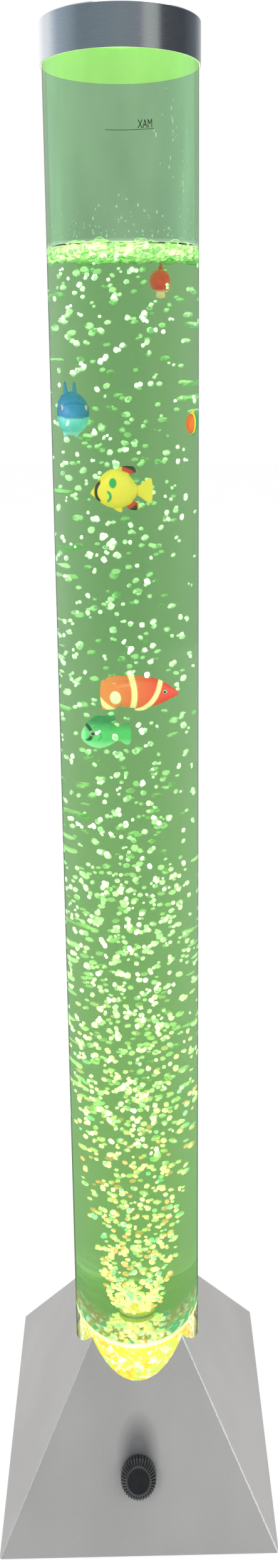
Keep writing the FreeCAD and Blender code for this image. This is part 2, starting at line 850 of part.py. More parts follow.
def make_knob():
    """The fluted knob, its shaft and the flat cap in its front."""
    shaft = new_body("dimmer_shaft")
    rod = new_sketch(shaft, "ShaftOutline", "XY_Plane", "0 - sheet_gauge - shaft_back")
    add_circle(rod, "shaft_width / 2")
    pad(shaft, rod, "sheet_gauge + shaft_back + shaft_reach", "Rod")
    lean(shaft, "knob_height", -1)

    knob = new_body("knob")
    low = "knob_float"
    shoulder = "( knob_float + knob_depth - knob_bevel_depth )"
    front = "( knob_float + knob_depth )"
    outer = "( knob_width / 2 )"
    face = "( knob_face_width / 2 )"
    cap_radius = "( knob_face_width / 2 - knob_cap_rim )"
    shaft_radius = "( shaft_width / 2 + shaft_fit / 2 )"
    body_points = [
        ("knob_cavity_width / 2", low),
        (outer, low),
        (outer, shoulder),
        (face, front),
        (cap_radius, front),
        (cap_radius, f"{front} - knob_cap_gauge"),
        ("0", f"{front} - knob_cap_gauge"),
        ("0", "shaft_reach"),
        (shaft_radius, "shaft_reach"),
        (shaft_radius, f"{low} + knob_cavity_depth"),
        ("knob_cavity_width / 2", f"{low} + knob_cavity_depth"),
    ]
    revolve(knob, body_points, "KnobBody")
    notch = new_sketch(knob, "FluteOutline", "XY_Plane", low)
    add_outline(notch, flute_points(outer))
    side_cut = pocket(knob, notch, "knob_depth - knob_bevel_depth", "SideFlute", upward=True)
    slant = new_sketch(knob, "BevelOutline", "XY_Plane")
    bevel_tilt = f"atan ( ( {outer} - {face} ) / knob_bevel_depth )"
    offset = Placement(Vector(1, 0, 1), Rotation(Vector(0, 1, 0), -45))
    slant.AttachmentOffset = offset
    slant.setExpression("AttachmentOffset.Base.x", cell(outer))
    slant.setExpression("AttachmentOffset.Base.z", cell(shoulder))
    slant.setExpression("AttachmentOffset.Rotation.Angle", cell(f"-1 * {bevel_tilt}"))
    add_outline(slant, flute_points("0"))
    bevel_length = f"( {outer} - {face} ) / sin ( {bevel_tilt} )"
    bevel_cut = pocket(knob, slant, f"{bevel_length} * 0.9", "BevelFlute", upward=True)
    polar(knob, [side_cut, bevel_cut], "flute_count", "Flutes")
    lean(knob, "knob_height", -1)

    cap = new_body("knob_cap")
    disc = new_sketch(cap, "CapOutline", "XY_Plane", f"{front} - knob_cap_gauge")
    add_circle(disc, f"{cap_radius} - shaft_fit")
    pad(cap, disc, "knob_cap_gauge - 0.3", "Disc")
    lean(cap, "knob_height", -1)


def flute_points(radius):
    """A V-shaped notch that opens outwards at a radius."""
    half = "flute_width / 2"
    return [
        (f"{radius} - flute_depth", "0"),
        (f"{radius} + flute_depth / 2", f"0 - {half} * 1.5"),
        (f"{radius} + flute_depth / 2", f"{half} * 1.5"),
    ]


# ---------------------------------------------------------------- driver board and inlet


def make_driver():
    """The driver board on four posts, with its larger components."""
    board = new_body("driver_board")
    outline = new_sketch(board, "DriverOutline", "XY_Plane")
    add_outline(outline, box_points("driver_width", "driver_length"))
    pad(board, outline, "board_gauge", "Board")
    place(board, "0 - driver_reach", "0", f"{PLATE_TOP} + post_rise")

    posts = new_body("driver_posts")
    rounds = new_sketch(posts, "PostOutline", "XY_Plane")
    for a in (-1, 1):
        for b in (-1, 1):
            across = f"{a} * ( driver_width / 2 - post_inset )"
            along = f"{b} * ( driver_length / 2 - post_inset )"
            add_outline(rounds, hex_points("post_width", across, along))
    pad(posts, rounds, "post_rise", "Posts")
    place(posts, "0 - driver_reach", "0", PLATE_TOP)

    parts = new_body("driver_parts")
    blocks = new_sketch(parts, "BlockOutline", "XY_Plane")
    terminal_x = "driver_width / 2 - terminal_inset"
    for side in (-1, 1):
        along = f"{side} * driver_length / 4"
        add_outline(blocks, box_points("terminal_width", "terminal_length", terminal_x, along))
    add_outline(blocks, box_points("coil_width", "coil_length"))
    pad(parts, blocks, "terminal_rise", "Blocks")
    cans = new_sketch(parts, "CanOutline", "XY_Plane")
    for side in (-1, 1):
        add_circle(cans, "capacitor_width / 2", "0 - driver_width / 4", f"{side} * driver_length / 3")
    pad(parts, cans, "capacitor_rise", "Cans")
    place(parts, "0 - driver_reach", "0", f"{PLATE_TOP} + post_rise + board_gauge")


def make_gland():
    """The cable gland in the rear face, with its locknut inside."""
    gland = new_body("cable_gland")
    bore = "gland_bore / 2"
    thread = "gland_thread / 2"
    dome = "gland_dome_width / 2"
    flange = new_sketch(gland, "FlangeOutline", "XY_Plane")
    add_outline(flange, hex_points("gland_flats"))
    pad(gland, flange, "gland_flange_gauge", "Flange")
    revolve(
        gland,
        [
            ("0", "0 - sheet_gauge - gland_back"),
            (thread, "0 - sheet_gauge - gland_back"),
            (thread, "0"),
            (thread, "gland_flange_gauge / 2"),
            (dome, "gland_flange_gauge / 2"),
            (dome, "gland_dome_rise - 2"),
            (f"{dome} - 2", "gland_dome_rise"),
            ("0", "gland_dome_rise"),
        ],
        "Barrel",
    )
    hole = new_sketch(gland, "CableHole", "XY_Plane")
    add_circle(hole, bore)
    pocket(gland, hole, "6 * gland_dome_rise", "CableCut", both_ways=True)
    lean(gland, "gland_height", 1)

    nut = new_body("gland_locknut")
    outline = new_sketch(nut, "LocknutOutline", "XY_Plane", "0 - sheet_gauge - gland_nut_gauge")
    add_outline(outline, hex_points("gland_nut_flats"))
    add_circle(outline, f"{thread} + screw_gap")
    pad(nut, outline, "gland_nut_gauge")
    lean(nut, "gland_height", 1)


# ---------------------------------------------------------------- cap


def make_cap():
    """The metal cap that lifts off the tube, with the soft seal that rests on the tube's end."""
    cap = new_body("cap_shell")
    inner = f"( {TUBE_RADIUS} + tube_gap )"
    outer = f"( {inner} + cap_gauge )"
    revolve(
        cap,
        [
            (inner, "0"),
            (outer, "0"),
            (outer, "cap_rise - cap_round"),
            (f"{outer} - cap_round", "cap_rise"),
            ("0", "cap_rise"),
            ("0", "cap_rise - cap_gauge"),
            (inner, "cap_rise - cap_gauge"),
        ],
    )
    place(cap, up="lamp_height - cap_rise")

    seal = new_body("cap_seal")
    disc = new_sketch(seal, "SealOutline", "XY_Plane")
    add_circle(disc, f"{inner} - seal_gap")
    pad(seal, disc, "seal_gauge")
    place(seal, up=TUBE_HEAD)


# ---------------------------------------------------------------- floating fish

# Each fish is its length, height and plumpness (width over height), where along it the body
# is tallest, its middle in the tube, and its heading: the angle from +X to its nose.
FISH = {
    "fish_red": (30, 15, 0.72, 0.1, Vector(18.5, 2, 932), -90),
    "fish_blue": (31, 27, 0.76, 0.1, Vector(-31, -14, 848), -90),
    "fish_orange": (25, 14.5, 0.6, 0.1, Vector(38.5, -4, 840), -90),
    "fish_yellow": (37, 26, 0.42, 0.0, Vector(-2.5, -26, 799), 180),
    "fish_striped": (50, 21, 0.5, 0.1, Vector(7.5, -26.5, 658), 0),
    "fish_green": (29, 21, 0.55, 0.1, Vector(-13.5, -12, 626), 180),
}
FISH_SIDES = 14
FISH_STATIONS = 9
FIN_GAUGE = 1.6
TAIL_SHARE = 0.24


def egg_height(share, peak):
    """The body's height, as a share of its tallest, at a place from -1 (tail) to 1 (nose)."""
    reach = 1 - peak if share > peak else 1 + peak
    return math.sqrt(max(0.0, 1 - ((share - peak) / reach) ** 2))


def fish_body(length, height, plump, peak):
    """A plump closed body of flat facets, egg-shaped from the side and from above."""
    stalk = -1 + 2 * TAIL_SHARE
    low = stalk
    rings = []
    for i in range(FISH_STATIONS + 1):
        share = low + (1 - low) * 0.5 * (1 - math.cos(math.pi * i / FISH_STATIONS))
        place_in_body = -1 + 2 * (share - low) / (1 - low)
        tall = height * max(0.16, egg_height(place_in_body * 0.985, peak))
        ring = []
        for k in range(FISH_SIDES):
            angle = 2 * math.pi * (k + 0.5) / FISH_SIDES
            across = tall * plump / 2 * math.cos(angle)
            ring.append(Vector(share * length / 2, across, tall / 2 * math.sin(angle)))
        rings.append(ring)
    faces = []
    for near, far in zip(rings, rings[1:]):
        for k in range(FISH_SIDES):
            m = (k + 1) % FISH_SIDES
            corners = [near[k], near[m], far[m], far[k], near[k]]
            faces.append(Part.Face(Part.makePolygon(corners)))
    for ring in (rings[0], rings[-1]):
        faces.append(Part.Face(Part.makePolygon(ring + [ring[0]])))
    return Part.Solid(Part.makeShell(faces))


def fin(points):
    """A flat fin of one gauge on the fish's middle plane."""
    corners = [Vector(x, -FIN_GAUGE / 2, z) for x, z in points]
    face = Part.Face(Part.makePolygon(corners + [corners[0]]))
    return face.extrude(Vector(0, FIN_GAUGE, 0))


def make_fish(label, length, height, plump, peak, middle, heading):
    """A hollow plastic fish that floats in the tube: a body, a tail and fins above and below."""
    body = fish_body(length, height, plump, peak)
    half = length / 2
    stalk = -half + TAIL_SHARE * length
    tail = fin(
        [
            (stalk + 0.1 * length, 0.07 * height),
            (stalk - 0.1 * length, 0.3 * height),
            (-half, 0.36 * height),
            (-half + 0.06 * length, 0),
            (-half, -0.36 * height),
            (stalk - 0.1 * length, -0.3 * height),
            (stalk + 0.1 * length, -0.07 * height),
        ]
    )
    back = fin(
        [
            (0.2 * half, 0.36 * height),
            (0.0, 0.62 * height),
            (-0.45 * half, 0.6 * height),
            (-0.55 * half, 0.3 * height),
        ]
    )
    belly = fin(
        [
            (0.1 * half, -0.36 * height),
            (-0.1 * half, -0.6 * height),
            (-0.4 * half, -0.56 * height),
            (-0.3 * half, -0.3 * height),
        ]
    )
    shape = body.fuse([tail, back, belly]).removeSplitter()
    feature = doc.addObject("Part::Feature", label)
    feature.Label = label
    feature.Shape = shape
    feature.Placement = Placement(middle, Rotation(Vector(0, 0, 1), heading))
    PARTS.append(feature)


# ---------------------------------------------------------------- inner leads


def make_leads():
    """The leads from the driver board's terminals to the dimmer, the lit board and the pump."""
    plate_top = size("foot_rise") + size("plate_gauge")
    terminal_z = plate_top + size("post_rise") + size("board_gauge") + size("terminal_rise") / 2
    terminal_x = size("driver_width") / 2 - size("terminal_inset") - size("driver_reach")
    terminal_y = size("driver_length") / 4
    inner_face = terminal_x + size("terminal_width") / 2
    outer_face = -terminal_y - size("terminal_length") / 2

    slope = math.atan2(2 * size("base_rise"), size("base_side"))
    face_y = -size("base_side") / 2 * (1 - size("knob_height") / size("base_rise"))
    face = Vector(0, face_y, size("foot_rise") + size("knob_height"))
    inward = Vector(0, math.sin(slope), -math.cos(slope))
    can_back = face + inward * (size("sheet_gauge") + size("can_depth"))
    turn = can_back + inward * size("dimmer_lead_run")
    dimmer_route = [
        can_back,
        turn,
        Vector(terminal_x, turn.y, terminal_z),
        Vector(terminal_x, outer_face, terminal_z),
    ]
    make_lead("dimmer_lead", dimmer_route)

    pump_face = -size("pump_side") / 2
    pump_route = [
        Vector(pump_face, terminal_y, terminal_z),
        Vector(inner_face, terminal_y, terminal_z),
    ]
    make_lead("pump_lead", pump_route)

    drop_x = -size("led_lead_reach")
    led_route = [
        Vector(drop_x, -terminal_y, size("board_height")),
        Vector(drop_x, -terminal_y, terminal_z),
        Vector(inner_face, -terminal_y, terminal_z),
    ]
    make_lead("led_lead", led_route)


def build():
    """Makes every piece in the order in which the lamp goes together."""
    make_base_shell()
    make_corner_blocks()
    make_base_plate()
    make_screws("plate_screws", CORNER_REACH, "foot_rise", "screw_length", head_down=True)
    make_feet()
    make_cradle()
    leg_screw_up = f"{PLATE_TOP} + leg_pad_gauge"
    leg_screw_length = "leg_pad_gauge + plate_gauge"
    make_screws("cradle_screws", "leg_screw_reach", leg_screw_up, leg_screw_length)
    make_tube()
    make_nozzle()
    make_lit_board()
    make_pump()
    make_valve()
    make_hoses()
    make_dimmer()
    make_knob()
    make_driver()
    make_gland()
    make_leads()
    make_cap()
    for label, form in FISH.items():
        make_fish(label, *form)


def check_and_write():
    """Stops on any failed object or bad solid, then writes one file for each piece."""
    doc.recompute()
    for item in doc.Objects:
        if "Invalid" in item.State or "Error" in item.State:
            raise RuntimeError(f"{item.Label} did not build: {item.State}, {item.getStatusString()}")
    for part in PARTS:
        shape = part.Shape
        if shape.isNull() or not shape.isValid() or not shape.Solids:
            raise RuntimeError(f"{part.Label} has no valid solid")
    os.makedirs("parts", exist_ok=True)
    for part in PARTS:
        part.Shape.exportStep(f"parts/{part.Label}.step")
        print(f"{part.Label}: {len(part.Shape.Solids)} solid(s), {part.Shape.Volume:.0f} mm3")


build()
check_and_write()
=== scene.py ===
import json
import math
import random

import bpy
from mathutils import Matrix, Vector

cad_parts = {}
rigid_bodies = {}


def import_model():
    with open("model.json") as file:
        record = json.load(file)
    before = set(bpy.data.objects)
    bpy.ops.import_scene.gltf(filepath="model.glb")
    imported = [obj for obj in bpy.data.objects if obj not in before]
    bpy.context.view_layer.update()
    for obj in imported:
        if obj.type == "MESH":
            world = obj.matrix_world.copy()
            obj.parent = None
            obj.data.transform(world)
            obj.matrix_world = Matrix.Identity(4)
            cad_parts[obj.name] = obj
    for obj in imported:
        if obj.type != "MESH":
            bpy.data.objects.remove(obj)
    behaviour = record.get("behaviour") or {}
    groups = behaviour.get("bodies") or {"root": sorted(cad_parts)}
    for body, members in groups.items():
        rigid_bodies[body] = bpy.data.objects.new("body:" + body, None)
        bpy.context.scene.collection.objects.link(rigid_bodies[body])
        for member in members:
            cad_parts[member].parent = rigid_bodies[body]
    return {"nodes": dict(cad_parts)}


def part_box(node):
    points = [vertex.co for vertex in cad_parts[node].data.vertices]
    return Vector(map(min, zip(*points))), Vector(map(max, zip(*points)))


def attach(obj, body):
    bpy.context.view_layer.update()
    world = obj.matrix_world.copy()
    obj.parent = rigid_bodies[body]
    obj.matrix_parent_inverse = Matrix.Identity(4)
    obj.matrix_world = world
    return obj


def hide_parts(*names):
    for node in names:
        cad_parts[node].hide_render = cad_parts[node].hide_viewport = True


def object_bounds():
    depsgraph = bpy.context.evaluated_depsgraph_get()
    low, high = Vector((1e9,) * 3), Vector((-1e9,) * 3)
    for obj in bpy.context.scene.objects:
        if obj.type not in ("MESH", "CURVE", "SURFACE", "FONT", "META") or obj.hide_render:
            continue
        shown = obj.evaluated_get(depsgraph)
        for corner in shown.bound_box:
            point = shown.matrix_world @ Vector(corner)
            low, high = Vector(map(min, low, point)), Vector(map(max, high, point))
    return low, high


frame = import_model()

# Bubble tube floor lamp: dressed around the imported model, in metres, in its frame.

CAD_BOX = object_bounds()
NODES = frame["nodes"]
MM = 0.001

# Places read from the frame.
FLOOR_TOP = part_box("tube_floor")[1].z
TUBE_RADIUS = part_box("tube")[1].x
TUBE_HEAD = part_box("tube")[1].z
BOARD_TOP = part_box("led_board")[1].z
NOZZLE_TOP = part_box("air_nozzle")[1].z

# Sizes that the contents of the tube are made from.
WALL = 3 * MM
WATER_RADIUS = TUBE_RADIUS - WALL - 0.1 * MM
WATER_TOP = TUBE_HEAD - 132.2 * MM
MARK_HEIGHT = WATER_TOP + 79.5 * MM
CLEAR_OF_WALL = WATER_RADIUS - 2 * MM
WATER_IOR = 1.333


# ---------------------------------------------------------------- modelling helpers


def deselect():
    """Leaves edit mode and selects nothing."""
    if bpy.context.mode != "OBJECT":
        bpy.ops.object.mode_set(mode="OBJECT")
    bpy.ops.object.select_all(action="DESELECT")


def named(name):
    """Names the new active object and its mesh."""
    piece = bpy.context.object
    piece.name = name
    piece.data.name = name
    return piece


def choose(piece):
    """Selects one piece alone and makes it the active one."""
    deselect()
    piece.select_set(True)
    bpy.context.view_layer.objects.active = piece


def edit(action="SELECT"):
    """Enters edit mode with everything selected, or with nothing."""
    bpy.ops.object.mode_set(mode="EDIT")
    bpy.ops.mesh.select_all(action=action)


def leave_edit():
    """Leaves edit mode, which keeps what was done in it."""
    bpy.ops.object.mode_set(mode="OBJECT")


def edit_where(piece, parts, wanted):
    """Enters edit mode with only the wanted faces or points of the mesh selected."""
    edit("DESELECT")
    leave_edit()
    for part in getattr(piece.data, parts):
        part.select = wanted(part)
    bpy.ops.object.mode_set(mode="EDIT")


def apply_place(piece):
    """Moves the piece's place into its mesh."""
    choose(piece)
    bpy.ops.object.transform_apply(location=True, rotation=True, scale=True)


def apply_modifiers(piece):
    """Makes every modifier of the piece part of its mesh."""
    choose(piece)
    for modifier in list(piece.modifiers):
        bpy.ops.object.modifier_apply(modifier=modifier.name)


def smooth(piece, angle=40):
    """Smooth shading, except across edges sharper than the angle."""
    choose(piece)
    bpy.ops.object.shade_smooth_by_angle(angle=math.radians(angle))


def face_outwards(piece):
    """Merges doubled points and turns every face outwards."""
    choose(piece)
    edit()
    bpy.ops.mesh.remove_doubles(threshold=0.00002)
    bpy.ops.mesh.normals_make_consistent(inside=False)
    leave_edit()


def join(name, pieces):
    """Makes several pieces one."""
    deselect()
    for piece in pieces:
        piece.select_set(True)
    bpy.context.view_layer.objects.active = pieces[0]
    if len(pieces) > 1:
        bpy.ops.object.join()
    return named(name)


def wear(piece, *materials):
    """Gives the piece its materials, in the order of its slots."""
    piece.data.materials.clear()
    for material in materials:
        piece.data.materials.append(material)


def dress(material, *nodes):
    """Gives carried-over nodes their finish."""
    for node in nodes:
        wear(NODES[node], material)


def put_on(piece, body, *nodes):
    """The piece rides on a body, in place of the nodes it stands for."""
    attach(piece, body)
    for node in nodes:
        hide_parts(node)


def fill(piece, material):
    """The piece is part of what the tube holds or carries, on the base's body."""
    wear(piece, material)
    put_on(piece, "base")


# ---------------------------------------------------------------- material helpers


class Tree:
    """The nodes of a material or a world, with short ways to add to them. A source is a number,
    a colour, another node's output, or a node whose first output is meant.
    """

    def __init__(self, owner):
        owner.use_nodes = True
        self.tree = owner.node_tree

    def feed(self, socket, source):
        """Gives a socket its source."""
        if isinstance(source, (int, float)):
            socket.default_value = source
        elif isinstance(source, (tuple, Vector)):
            socket.default_value = (*source, 1)[: len(socket.default_value)]
        elif isinstance(source, bpy.types.Node):
            self.tree.links.new(source.outputs[0], socket)
        else:
            self.tree.links.new(source, socket)

    def node(self, kind, *sources, **named_sources):
        """A new node: sources of its inputs in their order, then settings, whose names are in
        small letters, and sources of inputs by their names.
        """
        made = self.tree.nodes.new("ShaderNode" + kind)
        for socket, source in zip(made.inputs, sources):
            self.feed(socket, source)
        for key, source in named_sources.items():
            if key.islower():
                setattr(made, key, source)
            else:
                self.feed(made.inputs[key.replace("_", " ")], source)
        return made

    def math(self, kind, *sources):
        return self.node("Math", *sources, operation=kind).outputs["Value"]

    def plus(self, first, second):
        return self.math("ADD", first, second)

    def minus(self, first, second):
        return self.math("SUBTRACT", first, second)

    def times(self, first, second):
        return self.math("MULTIPLY", first, second)

    def over(self, first, second):
        return self.math("DIVIDE", first, second)

    def most(self, first, second):
        return self.math("MAXIMUM", first, second)

    def hypot(self, first, second):
        """The long side of a right-angled triangle whose short sides are given."""
        squares = self.plus(self.times(first, first), self.times(second, second))
        return self.math("SQRT", squares)

    def mix(self, factor, first, second):
        """A mix of two shaders."""
        return self.node("MixShader", factor, first, second)

    def seen(self):
        """1 for what the camera sees, straight on, in a mirror or through glass."""
        path = self.node("LightPath")
        seen = path.outputs["Is Camera Ray"]
        for kind in ("Is Glossy Ray", "Is Transmission Ray"):
            seen = self.most(seen, path.outputs[kind])
        return seen


class Finish(Tree):
    """A material under construction, with its Principled shader."""

    def __init__(self, name):
        self.material = bpy.data.materials.new(name)
        super().__init__(self.material)
        self.shader = self.tree.nodes["Principled BSDF"]
        self.output = self.tree.nodes["Material Output"]

    def set(self, **sources):
        """Sources of the Principled shader's inputs."""
        for key, source in sources.items():
            self.feed(self.shader.inputs[key.replace("_", " ")], source)

    def surface(self, source):
        """The shader that the surface shows."""
        self.feed(self.output.inputs["Surface"], source)

    def coordinates(self, stretch=(1, 1, 1)):
        """The object's own coordinates, stretched."""
        place = self.node("TexCoord").outputs["Object"]
        return self.node("Mapping", Scale=stretch, Vector=place)

    def noise(self, scale, stretch=(1, 1, 1), detail=3):
        place = self.coordinates(stretch)
        return self.node("TexNoise", Scale=scale, Detail=detail, Vector=place).outputs["Fac"]

    def span(self, value, low, high, start=0.35, end=0.65):
        """Maps a value that runs from start to end onto low to high."""
        made = self.node(
            "MapRange", Value=value, From_Min=start, From_Max=end, To_Min=low, To_Max=high
        )
        return made.outputs["Result"]

    def blend(self, factor, first, second):
        """A colour between two."""
        made = self.node("Mix", data_type="RGBA")
        for index, source in ((0, factor), (6, first), (7, second)):
            self.feed(made.inputs[index], source)
        return made.outputs[2]

    def axes(self):
        """The object's own coordinates, an output for each axis."""
        return self.node("SeparateXYZ", self.coordinates()).outputs

    def height(self):
        """The place along the object's Z axis."""
        return self.axes()["Z"]

    def reach(self):
        """The distance from the object's Z axis."""
        place = self.axes()
        return self.hypot(place["X"], place["Y"])

    def facing(self, direction, low, high):
        """1 on faces that look along a direction of the object, 0 on those that look away."""
        normal = self.node("TexCoord").outputs["Normal"]
        made = self.node("VectorMath", normal, direction, operation="DOT_PRODUCT")
        return self.span(made.outputs["Value"], 0, 1, low, high)

    def band(self, value, low, high, soft=0.0006):
        """1 between two limits of a value, softly 0 outside them."""
        over = self.span(value, 0, 1, low - soft, low + soft)
        under = self.span(value, 1, 0, high - soft, high + soft)
        return self.times(over, under)

    def light(self, colour, strength):
        return self.node("Emission", Color=colour, Strength=strength)

    def colour(self, source):
        self.set(Base_Color=source)

    def lit(self, source, strength):
        """A surface that glows in its own colour."""
        self.set(Base_Color=source, Emission_Color=source, Emission_Strength=strength)

    def rough(self, source, low, high):
        self.set(Roughness=self.span(source, low, high))

    def bump(self, height, strength, distance=0.0002):
        self.set(Normal=self.node("Bump", Strength=strength, Distance=distance, Height=height))


def moulded(name, dark, light, low=0.38, high=0.55, scale=180, bump=0.12, **values):
    """Moulded plastic, rubber or paint: slight shade and gloss changes and a fine skin."""
    finish = Finish(name)
    grain = finish.noise(scale)
    patches = finish.noise(scale * 0.06, detail=2)
    finish.colour(finish.blend(patches, dark, light))
    finish.rough(grain, low, high)
    finish.bump(grain, bump)
    finish.set(**values)
    return finish.material


def brushed(name, dark, light, stretch, low=0.22, high=0.4, scale=900, bump=0.15):
    """Brushed metal: fine lines along one direction in shade, gloss and relief."""
    finish = Finish(name)
    lines = finish.noise(scale, stretch, detail=4)
    finish.colour(finish.blend(finish.span(lines, 0, 1), dark, light))
    finish.rough(lines, low, high)
    finish.bump(lines, bump, 0.00005)
    finish.set(Metallic=1.0)
    return finish.material


# ---------------------------------------------------------------- materials of carried-over nodes


# Size of the painted shadow of the knob on the slope above it.
KNOB_SHADOW_HALF_WIDTH = 15 * MM
KNOB_SHADOW_HEIGHT = 21 * MM


def paint_base():
    """Satin silver-grey powder paint of the folded base, with a painted highlight along its front
    ridges and a soft painted shadow over the knob.
    """
    finish = Finish("satin_silver_paint")
    flakes = finish.noise(2600, detail=2)
    clouds = finish.noise(14, (1, 1, 0.5), detail=2)
    shade = finish.blend(finish.span(clouds, 0, 1), (0.43, 0.42, 0.415), (0.50, 0.488, 0.483))
    paint = finish.blend(finish.span(flakes, 0, 0.35), shade, (0.64, 0.62, 0.615))

    place = finish.axes()
    side = place["X"]
    front = finish.times(place["Y"], -1.0)
    # Painted highlights along the two front ridges: near white on the right, pale grey on the
    # left.
    highlight_jitter = finish.span(finish.noise(400, detail=4), 0.0, 0.5 * MM)
    for sign, ridge_highlight in ((1, (0.98, 0.98, 0.98)), (-1, (0.66, 0.67, 0.68))):
        off_ridge = finish.minus(finish.times(side, float(sign)), front)
        near = finish.plus(finish.math("ABSOLUTE", off_ridge), highlight_jitter)
        line = finish.span(near, 1, 0, 0.9 * MM, 1.3 * MM)
        line = finish.times(line, finish.math("GREATER_THAN", front, 0.0))
        paint = finish.blend(line, paint, ridge_highlight)

    # A soft painted shadow of the knob on the front slope above it.
    knob_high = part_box("knob")[1]
    above = finish.minus(place["Z"], knob_high.z - 3 * MM)
    far = finish.hypot(finish.over(side, KNOB_SHADOW_HALF_WIDTH), finish.over(above, KNOB_SHADOW_HEIGHT))
    knob_shadow = finish.span(far, 0.62, 0.0, 0.4, 1.15)
    knob_shadow = finish.times(knob_shadow, finish.math("GREATER_THAN", front, 0.045))
    finish.colour(finish.blend(knob_shadow, paint, (0.045, 0.05, 0.06)))
    finish.rough(flakes, 0.34, 0.48)
    finish.bump(flakes, 0.1, 0.00005)
    finish.set(Metallic=0.3)
    dress(finish.material, "base_shell")


# Colour of the painted glow inside the cap, in place of the lamp's green light.
PAINTED_CAP_GLOW = (0.98, 1.0, 0.54, 1)


def finish_cap():
    """Brushed steel outside, and a pale lining inside, painted green with a painted glow in place
    of the lamp's green light.
    """
    finish = Finish("brushed_cap_steel")
    lines = finish.noise(5200, (0.03, 0.03, 1), detail=4)
    streaks = finish.span(lines, 0, 1)
    finish.colour(finish.blend(streaks, (0.38, 0.41, 0.44), (0.44, 0.47, 0.50)))
    finish.rough(lines, 0.14, 0.22)
    finish.bump(lines, 0.05, 0.00002)
    finish.set(Metallic=1.0)
    # The lining inside: painted green, with a painted glow.
    glowing_lining = finish.node(
        "BsdfPrincipled",
        Base_Color=(0.35, 0.75, 0.2),
        Roughness=0.5,
        Emission_Color=PAINTED_CAP_GLOW,
        Emission_Strength=1.35,
    )
    within = finish.math("LESS_THAN", finish.reach(), TUBE_RADIUS + 0.55 * MM)
    below_top = finish.math("LESS_THAN", finish.height(), CAD_BOX[1].z - 0.4 * MM)
    finish.surface(finish.mix(finish.times(within, below_top), finish.shader, glowing_lining))
    dress(finish.material, "cap_shell")

    # The seal is painted green with the same painted glow as the lining.
    soft = Finish("lit_cap_seal")
    cloud = soft.noise(60)
    soft.colour(soft.blend(cloud, (0.3, 0.7, 0.18), (0.4, 0.8, 0.25)))
    soft.rough(cloud, 0.5, 0.7)
    soft.bump(cloud, 0.1)
    soft.set(Emission_Color=PAINTED_CAP_GLOW, Emission_Strength=1.3)
    dress(soft.material, "cap_seal")


